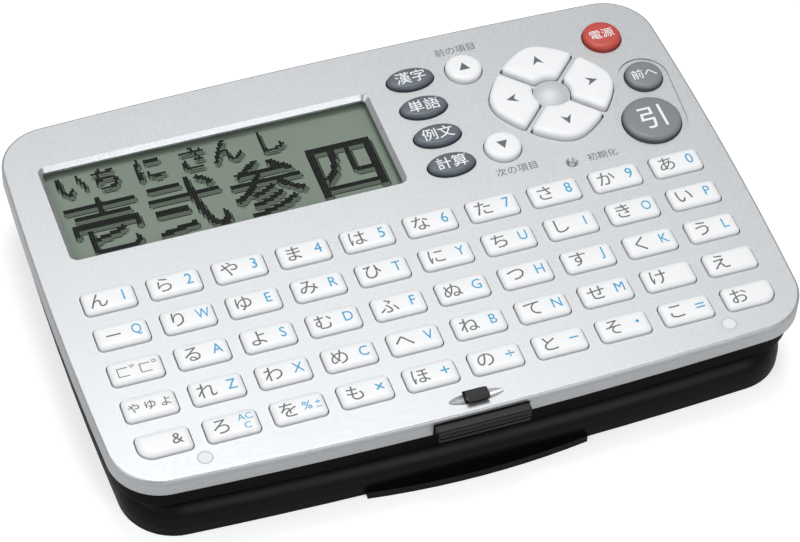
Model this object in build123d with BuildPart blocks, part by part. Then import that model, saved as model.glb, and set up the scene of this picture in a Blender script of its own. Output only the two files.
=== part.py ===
from build123d import *
import math
import os

# Electronic dictionary with a cover that folds right round under the body.
# Origin: on the surface it stands on, under the middle of the silver face.
# X runs along the key rows, Y runs from the front edge to the hinge, Z is up. Millimetres.

os.makedirs("parts", exist_ok=True)

# ---------------------------------------------------------------- body and cover outlines
case_half_width = 57.6
case_half_depth = 39.1
case_corner_radius = 8.5
side_bow = 1.05                # how far each edge bulges between its corners
front_bow = 1.9
rear_bow = 1.2

cover_half_width = 55.8
cover_front = 39.0
cover_rear = 37.7
cover_corner_radius = 9.0

# ---------------------------------------------------------------- heights
cover_height = 5.6
cover_wall = 1.1
cover_shoulder_radius = 3.9
folded_gap = 0.3               # between the folded cover and the bottom case
body_height = 8.6
skirt_height = 3.2
skirt_wall = 1.0
plate_thickness = 1.1
face_edge_radius = 0.45

case_gap = 0.15                # between the skirt and the bottom case inside it
case_wall = 1.0
case_floor = 1.1
case_rim_drop = 2.3            # from the face down to the rim of the bottom case
case_edge_radius = 1.6

case_bottom = cover_height + folded_gap
face_top = case_bottom + body_height
plate_bottom = face_top - plate_thickness
skirt_bottom = face_top - skirt_height
floor_top = case_bottom + case_floor
case_inset = skirt_wall + case_gap

# ---------------------------------------------------------------- board and contact mat
board_thickness = 0.8
board_height = 4.6             # underside of the board, above the bottom of the case
board_half_width = 52.5
board_front = 33.7
board_rear = 35.4
board_corner = 9.0
mat_thickness = 0.6
mat_margin = 0.3
dome_clearance = 0.1           # above each dome, which is drawn as a pressed key leaves it

board_bottom = case_bottom + board_height
board_top = board_bottom + board_thickness
mat_top = board_top + mat_thickness

# ---------------------------------------------------------------- keys
column_count = 10
row_count = 5
column_pitch = 10.7
row_pitch = 7.4
first_row = -0.97
letter_key_width = 8.45
letter_key_depth = 4.6
letter_key_rise = 0.7
key_corner_radius = 0.9
outer_corner_radius = 2.3      # on the two keys in the front corners of the block
key_edge_radius = 0.4
key_clearance = 0.15           # round a key in its hole
flange_width = 0.35            # how far a key's foot reaches under the plate
flange_thickness = 0.5
flange_gap = 0.2               # between the foot and the plate
key_travel = 0.6

flange_top = plate_bottom - flange_gap
flange_bottom = flange_top - flange_thickness
dome_top = flange_bottom - key_travel - dome_clearance
dome_radius = letter_key_depth / 3

oval_key_width = 8.2
oval_key_depth = 4.8
oval_key_rise = 0.85
oval_key_x = 13.0
oval_key_pitch = 6.7
first_oval_y = 30.0
oval_count = 4

round_key_diameter = 6.2
round_key_rise = 1.0
round_key_x = 22.35
previous_key_y = 29.6
next_key_y = 11.0

arrow_centre = (34.5, 20.0)
arrow_reach = 11.3             # from the centre to the corners of the four keys together
arrow_bulge = 9.65             # from the centre to the middle of their outer edges
arrow_outer_radius = 5.0
arrow_gap = 0.95
arrow_inner_radius = 3.25
arrow_corner_radius = 0.45
arrow_key_rise = 1.15
arrow_dome_radius = 3.0
arrow_dome_rise = 0.9

power_key = (47.4, 29.7)
power_key_diameter = 6.6
power_key_rise = 1.0
back_key = (50.8, 19.2)
back_key_diameter = 6.4
back_key_rise = 0.75
lookup_key = (48.25, 9.4)
lookup_key_diameter = 9.9
lookup_key_rise = 0.8
dish_margin = 1.1              # the shallow dish round the back and lookup keys
dish_depth = 0.25

# ---------------------------------------------------------------- display
display_width = 55.3
display_depth = 19.5
display_centre = (-23.15, 19.05)
display_corner_radius = 0.7
display_bevel = 0.7
window_thickness = 0.8
window_margin = 1.6
glass_thickness = 0.55         # each of the two sheets of the liquid crystal panel
glass_margin = 1.35
contact_ledge = 2.6            # how far the upper sheet reaches past the lower one
panel_gap = 0.15               # between the panel and the window
frame_wall = 1.5
frame_clearance = 0.1
connector_width = 1.6
connector_end_gap = 3.0

window_bottom = plate_bottom - window_thickness
panel_top = window_bottom - panel_gap
panel_bottom = panel_top - 2 * glass_thickness

# ---------------------------------------------------------------- reset button
reset_place = (32.1, 4.6)
pinhole_radius = 0.6
dimple_radius = 1.05
reset_pin_radius = 0.5
reset_foot_radius = 1.3
reset_travel = 0.4
reset_recess = 0.5             # the pin's end, below the face

# ---------------------------------------------------------------- battery compartment
cell_radius = 10.0
cell_thickness = 3.2
cell_spacing = 20.8
cell_gap = 0.7                 # round the cells, inside their well
cell_sink = 0.35               # how far the cells reach down into the floor's thickness
battery_centre = (-24.0, 18.0)
door_thickness = 0.6
door_ledge = 1.2
door_clearance = 0.15
well_wall = 1.0
contact_thickness = 0.25
contact_width = 4.0

cell_bottom = floor_top - cell_sink
cell_top = cell_bottom + cell_thickness
well_width = cell_spacing + 2 * (cell_radius + cell_gap)
well_depth = 2 * (cell_radius + cell_gap)

# ---------------------------------------------------------------- screws, plugs and feet
front_screw = (43.0, 34.9)     # both sides, under the plugs in the face
rear_screw_x = 51.5            # both sides, from below, just behind the display frame
screw_radius = 0.7
screw_head_radius = 1.15
screw_head_height = 0.7
screw_clearance = 0.1
boss_radius = 1.75
face_boss_radius = 1.5
plug_radius = 1.25
plug_thickness = 0.5
boss_gap = 0.2
foot_place = (49.0, 27.0)
foot_radius = 2.0
foot_pocket = 0.4
foot_gap = 0.02                # between a foot and the folded cover
frame_rear = display_centre[1] + display_depth / 2 + glass_margin + frame_clearance + frame_wall
rear_screw = (rear_screw_x, frame_rear + face_boss_radius + boss_gap)
post_radius = 1.5
post_places = [(-51.0, -12.0), (51.0, -12.0), (-25.0, -31.5), (25.0, -31.5), (51.0, 26.0), (18.0, 33.0)]

# ---------------------------------------------------------------- release slider and latch
release_travel = 0.9
bar_half_width = 7.7
bar_front = 41.1
bar_bottom_drop = 3.5          # from the face
bar_top_drop = 1.0
bar_front_radius = 0.8
bar_groove = 0.3               # deep and high, along the middle of the bar's front
notch_clearance = 0.2
slide_thickness = 0.8
slide_drop = 0.25              # from the plate down to the slide
slide_half_width = 6.4
slide_rear = 36.7
hook_half_width = 1.75
hook_neck_front = 37.0
hook_neck_rear = 35.9
hook_tip = 37.75
hook_rise = 1.3
hook_slope = 0.4
lens_half_length = 4.55
lens_half_width = 1.15
lens_centre_y = -36.4
lens_depth = 0.5
lens_overrun = 0.5             # of the cutting spindle past the ends of the recess, above the face
spring_radius = 0.475
spring_wire = 0.25
spring_turns = 4
spring_x = 4.2
spring_length = 2.0
spring_seat = 0.5
spring_slack = 0.03
catch_half_width = 3.0
catch_reach = 0.75             # the ledge inside the cover that the hook holds
catch_bottom = 0.1
catch_thickness = 0.3
catch_clearance = 0.1          # between the catch and the tip of the hook above it

# ---------------------------------------------------------------- cover lip
lip_half_width = 18.3
lip_step = 0.7                 # at the ends of the lip, from the cover's front
lip_front = 40.95
lip_thickness = 1.5

# ---------------------------------------------------------------- hinge
hinge_y = 40.1
knuckle_radius = 1.0
pin_radius = 0.5
pin_clearance = 0.05
link_inner_end = 28.0
link_outer_end = 42.0
knuckle_width = 2.2
knuckle_gap = 0.2
web_half_height = 0.75
closed_gap = 0.15              # between the closed cover's rim and the face
cover_axis_height = 2.85

case_axis_height = cover_axis_height + (face_top + closed_gap) / 2
hook_underside = face_top + closed_gap + catch_bottom + catch_thickness + catch_clearance


def save(name, builder):
    """Label a finished piece and write it to its own file."""
    builder.part.label = name
    export_step(builder.part, f"parts/{name}.step")


def bowed_outline(half_width, front, rear, corner_radius):
    """Four gently bulging edges with round corners, shared by the body and the cover."""
    corner_x = half_width - side_bow
    front_corner = -(front - front_bow)
    rear_corner = rear - rear_bow
    middle = (front_corner + rear_corner) / 2
    with BuildSketch() as outline:
        with BuildLine():
            ThreePointArc((-corner_x, front_corner), (0, -front), (corner_x, front_corner))
            ThreePointArc((corner_x, front_corner), (half_width, middle), (corner_x, rear_corner))
            ThreePointArc((corner_x, rear_corner), (0, rear), (-corner_x, rear_corner))
            ThreePointArc((-corner_x, rear_corner), (-half_width, middle), (-corner_x, front_corner))
        make_face()
        fillet(outline.vertices(), corner_radius)
    return outline.sketch


def case_outline(inset):
    """The body's outline, drawn inset on every side."""
    return bowed_outline(
        case_half_width - inset, case_half_depth - inset, case_half_depth - inset, case_corner_radius - inset
    )


def cover_outline(inset):
    """The cover's outline, drawn inset on every side."""
    return bowed_outline(
        cover_half_width - inset, cover_front - inset, cover_rear - inset, cover_corner_radius - inset
    )


def letter_key_place(column, row):
    """Centre of a letter key, counted from the rear left."""
    x = (column - (column_count + 1) / 2) * column_pitch
    return x, first_row - (row - 1) * row_pitch


def letter_key_outline(column, row, margin):
    """A letter key's outline, with a large round on the outer corner of the two front corner keys."""
    half_width = letter_key_width / 2 + margin
    half_depth = letter_key_depth / 2 + margin
    at_front = row == row_count
    with BuildSketch() as outline:
        Rectangle(2 * half_width, 2 * half_depth)
        for side in (-1, 1):
            for end in (-1, 1):
                at_corner = column == (1 if side < 0 else column_count)
                radius = outer_corner_radius if at_front and at_corner and end < 0 else key_corner_radius
                corner = outline.vertices().sort_by_distance((side * half_width, end * half_depth))[0]
                fillet(corner, radius + margin)
    return outline.sketch


def oval_outline(width, depth, margin):
    """Outline of an oval or round key."""
    with BuildSketch() as outline:
        if width == depth:
            Circle(width / 2 + margin)
        else:
            Ellipse(width / 2 + margin, depth / 2 + margin)
    return outline.sketch


def arrow_outline(margin):
    """Outline of the arrow key that points to the rear: a quarter of the cushion-shaped group."""
    gap = (arrow_gap / 2 - margin) * math.sqrt(2)
    far = 2 * arrow_reach
    across = arrow_bulge / math.sqrt(2)
    with BuildSketch() as outline:
        with BuildLine():
            ThreePointArc((arrow_reach, 0), (across, across), (0, arrow_reach))
            ThreePointArc((0, arrow_reach), (-across, across), (-arrow_reach, 0))
            ThreePointArc((-arrow_reach, 0), (-across, -across), (0, -arrow_reach))
            ThreePointArc((0, -arrow_reach), (across, -across), (arrow_reach, 0))
        make_face()
        fillet(outline.vertices(), arrow_outer_radius)
        if margin:
            offset(amount=margin)
        Polygon((0, gap), (far, far + gap), (-far, far + gap), align=None, mode=Mode.INTERSECT)
        Circle(arrow_inner_radius - margin, mode=Mode.SUBTRACT)
        fillet(outline.vertices().group_by(Axis.Y)[0], arrow_corner_radius)
        fillet(outline.vertices().sort_by(Axis.X)[0], arrow_corner_radius)
        fillet(outline.vertices().sort_by(Axis.X)[-1], arrow_corner_radius)
    return outline.sketch


def turned(height, place, degrees=0):
    """A level plane at a place on the face, turned about its own upright axis."""
    angle = math.radians(degrees)
    return Plane((place[0], place[1], height), x_dir=(math.cos(angle), math.sin(angle), 0), z_dir=(0, 0, 1))


def other_keys():
    """Every key that isn't a letter key: name, place, turn, rise and a function for its outline."""
    keys = []
    for number in range(oval_count):
        place = (oval_key_x, first_oval_y - number * oval_key_pitch)
        keys.append((
            f"mode_key_{number + 1}", place, 0, oval_key_rise,
            lambda margin: oval_outline(oval_key_width, oval_key_depth, margin),
        ))
    for name, y in (("previous_key", previous_key_y), ("next_key", next_key_y)):
        keys.append((
            name, (round_key_x, y), 0, round_key_rise,
            lambda margin: oval_outline(round_key_diameter, round_key_diameter, margin),
        ))
    for number, direction in enumerate(("up", "left", "down", "right")):
        keys.append((f"arrow_key_{direction}", arrow_centre, 90 * number, arrow_key_rise, arrow_outline))
    for name, place, diameter, rise in (
        ("power_key", power_key, power_key_diameter, power_key_rise),
        ("back_key", back_key, back_key_diameter, back_key_rise),
        ("lookup_key", lookup_key, lookup_key_diameter, lookup_key_rise),
    ):
        keys.append((name, place, 0, rise, lambda margin, size=diameter: oval_outline(size, size, margin)))
    return keys


def both_sides(place):
    """The same place on the left and on the right."""
    return [(-place[0], place[1]), place]


def front_screw_places():
    return both_sides((front_screw[0], -front_screw[1]))


def cell_places():
    """Centres of the two coin cells."""
    x, y = battery_centre
    return [(x - cell_spacing / 2, y), (x + cell_spacing / 2, y)]


def hinge_spans():
    """The X spans of the two links and of the knuckles at both ends of each link."""
    links = [(-link_outer_end, -link_inner_end), (link_inner_end, link_outer_end)]
    knuckles = []
    for start, end in links:
        knuckles.append((start - knuckle_gap - knuckle_width, start - knuckle_gap))
        knuckles.append((end + knuckle_gap, end + knuckle_gap + knuckle_width))
    return links, knuckles


# ================================================================ face panel
with BuildPart() as face_panel:
    with BuildSketch(Plane.XY.offset(skirt_bottom)):
        add(case_outline(0))
    extrude(amount=skirt_height)
    fillet(face_panel.faces().sort_by(Axis.Z)[-1].edges(), face_edge_radius)
    with BuildSketch(Plane.XY.offset(skirt_bottom)):
        add(case_outline(skirt_wall))
    extrude(amount=skirt_height - plate_thickness, mode=Mode.SUBTRACT)

    # bosses under the plate: the screws come through the front pair and end in the rear pair
    with BuildSketch(Plane.XY.offset(board_top + boss_gap)):
        with Locations(*front_screw_places(), *both_sides(rear_screw)):
            Circle(face_boss_radius)
    extrude(amount=plate_bottom - board_top - boss_gap)

    # shallow dish that joins the back key and the lookup key
    with BuildSketch(Plane.XY.offset(face_top - dish_depth)):
        with Locations(back_key):
            Circle(back_key_diameter / 2 + dish_margin)
        with Locations(lookup_key):
            Circle(lookup_key_diameter / 2 + dish_margin)
        make_hull()
    extrude(amount=dish_depth, mode=Mode.SUBTRACT)

    # key holes
    with BuildSketch(Plane.XY.offset(plate_bottom)):
        for row in range(1, row_count + 1):
            for column in range(1, column_count + 1):
                with Locations(letter_key_place(column, row)):
                    add(letter_key_outline(column, row, key_clearance))
    extrude(amount=plate_thickness, mode=Mode.SUBTRACT)
    for _, place, turn, _, outline in other_keys():
        with BuildSketch(turned(plate_bottom, place, turn)):
            add(outline(key_clearance))
        extrude(amount=plate_thickness, mode=Mode.SUBTRACT)

    # silver dome between the arrow keys, a cap cut from a ball
    with BuildSketch(Plane((*arrow_centre, face_top), x_dir=(1, 0, 0), z_dir=(0, -1, 0))):
        with BuildLine():
            TangentArc((0, arrow_dome_rise), (arrow_dome_radius, 0), tangent=(1, 0))
            Polyline((arrow_dome_radius, 0), (0, 0), (0, arrow_dome_rise))
        make_face()
    revolve(axis=Axis((*arrow_centre, face_top), (0, 0, 1)))

    # display opening with a bevelled rim
    with BuildSketch(turned(plate_bottom, display_centre)):
        RectangleRounded(display_width, display_depth, display_corner_radius)
    extrude(amount=plate_thickness, mode=Mode.SUBTRACT)
    with BuildSketch(turned(face_top, display_centre)):
        RectangleRounded(
            display_width + 2 * display_bevel,
            display_depth + 2 * display_bevel,
            display_corner_radius + display_bevel,
        )
    extrude(amount=-display_bevel, taper=45, mode=Mode.SUBTRACT)

    # lens-shaped recess of the latch, scooped by a spindle that turns on an axis above the face
    scoop_radius = (lens_half_width**2 + lens_depth**2) / (2 * lens_depth)
    scoop_bow = (lens_half_length**2 + lens_depth**2) / (2 * lens_depth)
    scoop_end = lens_half_length + lens_overrun
    scoop_end_radius = scoop_radius - scoop_bow + math.sqrt(scoop_bow**2 - scoop_end**2)
    scoop_centre = (0, lens_centre_y, face_top + scoop_radius - lens_depth)
    with BuildSketch(Plane(scoop_centre, x_dir=(1, 0, 0), z_dir=(0, -1, 0))):
        with BuildLine():
            ThreePointArc(
                (-scoop_end, -scoop_end_radius),
                (0, -scoop_radius),
                (scoop_end, -scoop_end_radius),
            )
            Polyline(
                (scoop_end, -scoop_end_radius),
                (scoop_end, 0),
                (-scoop_end, 0),
                (-scoop_end, -scoop_end_radius),
            )
        make_face()
    revolve(axis=Axis(scoop_centre, (1, 0, 0)), mode=Mode.SUBTRACT)

    # slot that the hook slides in
    with BuildSketch(Plane.XY.offset(plate_bottom)):
        with Locations((0, (release_travel - hook_neck_front - hook_neck_rear) / 2)):
            Rectangle(
                2 * (hook_half_width + key_clearance),
                hook_neck_front - hook_neck_rear + release_travel + 2 * key_clearance,
            )
    extrude(amount=plate_thickness, mode=Mode.SUBTRACT)

    # notch in the skirt for the release bar
    with BuildSketch(Plane.XY.offset(skirt_bottom)):
        with Locations((0, -case_half_depth)):
            Rectangle(2 * (bar_half_width + notch_clearance), 2 * case_inset)
    extrude(amount=skirt_height - bar_top_drop + notch_clearance, mode=Mode.SUBTRACT)

    # pinhole with its dimple, and the stepped holes of the front screws and their plugs
    with Locations((*reset_place, face_top)):
        CounterSinkHole(pinhole_radius, dimple_radius, depth=plate_thickness)
    with Locations(*[(x, y, face_top) for x, y in front_screw_places()]):
        CounterBoreHole(
            screw_radius + screw_clearance,
            plug_radius,
            plug_thickness + screw_head_height + screw_clearance,
            depth=face_top - board_top,
        )
    with Locations(*[(x, y, board_top + boss_gap) for x, y in both_sides(rear_screw)]):
        Cylinder(
            screw_radius,
            plate_bottom - board_top - boss_gap - case_gap,
            align=(Align.CENTER, Align.CENTER, Align.MIN),
            mode=Mode.SUBTRACT,
        )
save("face_panel", face_panel)

# ================================================================ bottom case
links, knuckles = hinge_spans()

with BuildPart() as bottom_case:
    with BuildSketch(Plane.XY.offset(case_bottom)):
        add(case_outline(case_inset))
    extrude(amount=body_height - case_rim_drop)
    fillet(bottom_case.faces().sort_by(Axis.Z)[0].edges(), case_edge_radius)
    with BuildSketch(Plane.XY.offset(floor_top)):
        add(case_outline(case_inset + case_wall))
    extrude(amount=body_height, mode=Mode.SUBTRACT)

    # battery well, with the ledge that the door closes against
    with BuildSketch(turned(floor_top, battery_centre)):
        Rectangle(well_width + 2 * well_wall, well_depth + 2 * well_wall)
    extrude(amount=cell_top - floor_top)
    with BuildSketch(turned(case_bottom, battery_centre)):
        Rectangle(well_width, well_depth)
    extrude(amount=cell_top - case_bottom, mode=Mode.SUBTRACT)
    with BuildSketch(turned(case_bottom, battery_centre)):
        Rectangle(well_width + 2 * door_ledge, well_depth + 2 * door_ledge)
    extrude(amount=door_thickness + door_clearance, mode=Mode.SUBTRACT)

    # screw bosses and the posts under the board
    with BuildSketch(Plane.XY.offset(floor_top)):
        with Locations(*front_screw_places(), *both_sides(rear_screw)):
            Circle(boss_radius)
    extrude(amount=board_top - floor_top)
    with BuildSketch(Plane.XY.offset(floor_top)):
        with Locations(*post_places):
            Circle(post_radius)
    extrude(amount=board_bottom - floor_top)

    # posts that the release springs push against
    with BuildSketch(Plane.XY.offset(floor_top)):
        with Locations(*both_sides((spring_x, -(slide_rear - spring_length - spring_seat / 2)))):
            Rectangle(2 * spring_radius + spring_seat, spring_seat)
    extrude(amount=plate_bottom - slide_drop - floor_top)

    # hinge knuckles behind the rear wall
    for start, end in knuckles:
        with BuildSketch(Plane.YZ.offset(start)):
            with Locations((hinge_y, case_axis_height)):
                Circle(knuckle_radius)
            with Locations((hinge_y, case_axis_height)):
                Rectangle(
                    hinge_y - case_half_depth + case_inset + rear_bow + case_wall / 2,
                    2 * web_half_height,
                    align=(Align.MAX, Align.CENTER),
                )
        extrude(amount=end - start)
    for start, end in knuckles:
        with BuildSketch(Plane.YZ.offset(start)):
            with Locations((hinge_y, case_axis_height)):
                Circle(pin_radius)
        extrude(amount=end - start, mode=Mode.SUBTRACT)

    # screw holes, and shallow pockets for the rubber feet
    with Locations(*[(x, y, board_top) for x, y in front_screw_places()]):
        Hole(screw_radius, depth=board_top - floor_top)
    with BuildSketch(Plane.XY.offset(case_bottom)):
        with Locations(*both_sides(rear_screw)):
            Circle(screw_radius + screw_clearance)
    extrude(amount=body_height, mode=Mode.SUBTRACT)
    with BuildSketch(Plane.XY.offset(case_bottom)):
        with Locations(*both_sides(rear_screw)):
            Circle(screw_head_radius + screw_clearance)
    extrude(amount=screw_head_height + screw_clearance, mode=Mode.SUBTRACT)
    with BuildSketch(Plane.XY.offset(case_bottom)):
        with Locations(*both_sides(foot_place), *both_sides((foot_place[0], -foot_place[1]))):
            Circle(foot_radius + screw_clearance)
    extrude(amount=foot_pocket, mode=Mode.SUBTRACT)

    # the rim stands clear of the bosses under the face
    with BuildSketch(Plane.XY.offset(board_top)):
        with Locations(*front_screw_places(), *both_sides(rear_screw)):
            Circle(face_boss_radius + boss_gap)
    extrude(amount=body_height, mode=Mode.SUBTRACT)
save("bottom_case", bottom_case)

with BuildPart() as rubber_feet:
    with BuildSketch(Plane.XY.offset(cover_height + foot_gap)):
        with Locations(*both_sides(foot_place), *both_sides((foot_place[0], -foot_place[1]))):
            Circle(foot_radius)
    extrude(amount=folded_gap - foot_gap + foot_pocket)
save("rubber_feet", rubber_feet)

# ================================================================ battery, its contacts and its door
with BuildPart() as battery_door:
    with BuildSketch(turned(case_bottom, battery_centre)):
        Rectangle(
            well_width + 2 * (door_ledge - door_clearance), well_depth + 2 * (door_ledge - door_clearance)
        )
    extrude(amount=door_thickness)
save("battery_door", battery_door)

with BuildPart() as coin_cells:
    with BuildSketch(Plane.XY.offset(cell_bottom)):
        with Locations(*cell_places()):
            Circle(cell_radius)
    extrude(amount=cell_thickness)
    chamfer(coin_cells.faces().group_by(Axis.Z)[0].edges(), cell_gap / 2)
save("coin_cells", coin_cells)

with BuildPart() as battery_contacts:
    with BuildSketch(Plane.XY.offset(board_bottom - contact_thickness)):
        with Locations(*cell_places()):
            Rectangle(contact_width, cell_radius)
    extrude(amount=contact_thickness)
save("battery_contacts", battery_contacts)

# ================================================================ board, chips and contact mat
with BuildPart() as main_board:
    with BuildSketch(Plane.XY.offset(board_bottom)) as board_outline:
        with Locations((0, (board_rear - board_front) / 2)):
            Rectangle(2 * board_half_width, board_rear + board_front)
        chamfer(board_outline.vertices(), board_corner)
        with Locations(*front_screw_places(), *both_sides(rear_screw)):
            Circle(boss_radius + screw_clearance, mode=Mode.SUBTRACT)
    extrude(amount=board_thickness)
save("main_board", main_board)

chip_sizes = {                 # place of each chip under the board, then its width, depth and height
    (30.0, 14.0): (12.0, 12.0, 1.2),
    (30.0, -8.0): (14.0, 9.0, 1.2),
    (12.0, -10.0): (5.0, 4.0, 1.0),
    (12.0, -24.0): (7.0, 2.4, 1.4),
}
capacitor_size = (1.8, 1.0, 0.8)
capacitor_pitch = 3.2
capacitor_rows = [(30.0, 24.5), (30.0, 3.5), (-30.0, -12.0)]

with BuildPart() as board_chips:
    for place, (width, depth, height) in chip_sizes.items():
        with BuildSketch(turned(board_bottom, place)):
            Rectangle(width, depth)
        extrude(amount=-height)
    with BuildSketch(Plane.XY.offset(board_bottom)):
        for place in capacitor_rows:
            with Locations(place):
                with GridLocations(capacitor_pitch, 0, 4, 1):
                    Rectangle(capacitor_size[0], capacitor_size[1])
    extrude(amount=-capacitor_size[2])
save("board_chips", board_chips)

with BuildPart() as contact_mat:
    frame_right = display_centre[0] + display_width / 2 + glass_margin + frame_clearance + frame_wall
    block_top = first_row + row_pitch / 2 + mat_margin
    with BuildSketch(Plane.XY.offset(board_top)) as mat_outline:
        with Locations((0, (board_rear - board_front) / 2)):
            Rectangle(2 * board_half_width, board_rear + board_front)
        chamfer(mat_outline.vertices(), board_corner)
        with Locations((frame_right + mat_margin, block_top)):
            Rectangle(
                case_half_width * 2, case_half_depth * 2, align=(Align.MAX, Align.MIN), mode=Mode.SUBTRACT
            )
        with Locations(*front_screw_places(), *both_sides(rear_screw)):
            Circle(boss_radius + screw_clearance, mode=Mode.SUBTRACT)
        with Locations(reset_place):
            Circle(reset_foot_radius + key_clearance, mode=Mode.SUBTRACT)
    extrude(amount=mat_thickness)
    with BuildSketch(Plane.XY.offset(mat_top)):
        for row in range(1, row_count + 1):
            for column in range(1, column_count + 1):
                with Locations(letter_key_place(column, row)):
                    Circle(dome_radius)
    extrude(amount=dome_top - mat_top)
    for name, place, turn, _, _ in other_keys():
        reach = (arrow_inner_radius + arrow_reach) / 2 if name.startswith("arrow") else 0
        with BuildSketch(turned(mat_top, place, turn)):
            with Locations((0, reach)):
                Circle(dome_radius)
        extrude(amount=dome_top - mat_top)
save("contact_mat", contact_mat)

# ================================================================ display
lower_glass = (display_width + 2 * glass_margin, display_depth + 2 * glass_margin)

with BuildPart() as display_window:
    with BuildSketch(turned(window_bottom, display_centre)):
        Rectangle(display_width + 2 * window_margin, display_depth + 2 * window_margin)
    extrude(amount=window_thickness)
save("display_window", display_window)

with BuildPart() as display_panel:
    with BuildSketch(turned(panel_bottom, display_centre)):
        Rectangle(*lower_glass)
    extrude(amount=glass_thickness)
    with BuildSketch(turned(panel_bottom + glass_thickness, display_centre)):
        with Locations((0, lower_glass[1] / 2)):
            Rectangle(lower_glass[0], lower_glass[1] + contact_ledge, align=(Align.CENTER, Align.MAX))
    extrude(amount=glass_thickness)
save("display_panel", display_panel)

with BuildPart() as display_frame:
    with BuildSketch(turned(board_top, display_centre)):
        with Locations((0, lower_glass[1] / 2 + frame_clearance + frame_wall)):
            Rectangle(
                lower_glass[0] + 2 * (frame_clearance + frame_wall),
                lower_glass[1] + contact_ledge + 2 * (frame_clearance + frame_wall),
                align=(Align.CENTER, Align.MAX),
            )
        with Locations((0, lower_glass[1] / 2 + frame_clearance)):
            Rectangle(
                lower_glass[0] + 2 * frame_clearance,
                lower_glass[1] + contact_ledge + 2 * frame_clearance,
                align=(Align.CENTER, Align.MAX),
                mode=Mode.SUBTRACT,
            )
    extrude(amount=window_bottom - board_top)
save("display_frame", display_frame)

with BuildPart() as display_connector:
    with BuildSketch(turned(board_top, display_centre)):
        with Locations((0, -(lower_glass[1] + contact_ledge) / 2)):
            Rectangle(lower_glass[0] - 2 * connector_end_gap, connector_width)
    extrude(amount=panel_bottom + glass_thickness - board_top)
save("display_connector", display_connector)

# ================================================================ keys
for row in range(1, row_count + 1):
    for first in range(1, column_count, 2):
        with BuildPart() as letter_keys:
            for column in (first, first + 1):
                place = letter_key_place(column, row)
                with BuildSketch(turned(flange_bottom, place)):
                    add(letter_key_outline(column, row, flange_width))
                extrude(amount=flange_thickness)
                with BuildSketch(turned(flange_top, place)):
                    add(letter_key_outline(column, row, 0))
                extrude(amount=face_top + letter_key_rise - flange_top)
            fillet(letter_keys.faces().group_by(Axis.Z)[-1].edges(), key_edge_radius)
        save(f"letter_keys_row_{row}_columns_{first}_{first + 1}", letter_keys)

for name, place, turn, rise, outline in other_keys():
    with BuildPart() as key:
        with BuildSketch(turned(flange_bottom, place, turn)):
            add(outline(flange_width if name[:5] != "arrow" else key_clearance))
        extrude(amount=flange_thickness)
        with BuildSketch(turned(flange_top, place, turn)):
            add(outline(0))
        extrude(amount=face_top + rise - flange_top)
        fillet(key.faces().sort_by(Axis.Z)[-1].edges(), key_edge_radius)
    save(name, key)

with BuildPart() as reset_button:
    with BuildSketch(turned(mat_top + reset_travel, reset_place)):
        Circle(reset_foot_radius)
    extrude(amount=flange_thickness)
    with BuildSketch(turned(mat_top + reset_travel, reset_place)):
        Circle(reset_pin_radius)
    extrude(amount=face_top - reset_recess - mat_top - reset_travel)
save("reset_button", reset_button)

# ================================================================ release slider, hook and springs
slide_top = plate_bottom - slide_drop

with BuildPart() as release_slider:
    # bar outside the case, with a rounded front and a groove along it
    with BuildSketch(Plane.XY.offset(face_top - bar_bottom_drop)):
        with Locations((0, -bar_front)):
            Rectangle(
                2 * bar_half_width,
                bar_front - case_half_depth - case_gap,
                align=(Align.CENTER, Align.MIN),
            )
    extrude(amount=bar_bottom_drop - bar_top_drop)
    fillet(release_slider.faces().sort_by(Axis.Y)[0].edges(), bar_front_radius)
    with BuildSketch(Plane.XY.offset(face_top - (bar_top_drop + bar_bottom_drop + bar_groove) / 2)):
        with Locations((0, -bar_front)):
            Rectangle(2 * bar_half_width, 2 * bar_groove)
    extrude(amount=bar_groove, mode=Mode.SUBTRACT)

    # slide through the notch, and the tongue that carries the hook
    with BuildSketch(Plane.XY.offset(slide_top - slide_thickness)):
        with Locations((0, -slide_rear)):
            Rectangle(
                2 * slide_half_width,
                bar_front - slide_rear - bar_front_radius,
                align=(Align.CENTER, Align.MAX),
            )
        with Locations((0, -hook_neck_rear)):
            Rectangle(2 * hook_half_width, hook_tip - hook_neck_rear, align=(Align.CENTER, Align.MAX))
    extrude(amount=slide_thickness)

    # hook: an upright neck with a tip that reaches forward over the cover's catch
    with BuildSketch(Plane.YZ.offset(-hook_half_width)):
        with BuildLine():
            Polyline(
                (-hook_neck_rear, slide_top - slide_thickness),
                (-hook_neck_rear, face_top + hook_rise),
                (hook_slope - hook_tip, face_top + hook_rise),
                (-hook_tip, face_top + hook_rise - hook_slope),
                (-hook_tip, hook_underside),
                (-hook_neck_front, hook_underside),
                (-hook_neck_front, slide_top - slide_thickness),
                close=True,
            )
        make_face()
    extrude(amount=2 * hook_half_width)
save("release_slider", release_slider)

with BuildPart() as release_springs:
    for x, y in both_sides((spring_x, -(slide_rear - spring_slack))):
        with BuildLine():
            coil = Helix(
                pitch=(spring_length - 2 * spring_slack - spring_wire) / spring_turns,
                height=spring_length - 2 * spring_slack - spring_wire,
                radius=spring_radius,
                center=(x, y + spring_wire / 2, slide_top - slide_thickness / 2),
                direction=(0, 1, 0),
            )
        with BuildSketch(Plane(coil @ 0, z_dir=coil % 0)):
            Circle(spring_wire / 2)
        sweep(path=coil)
save("release_springs", release_springs)

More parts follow.
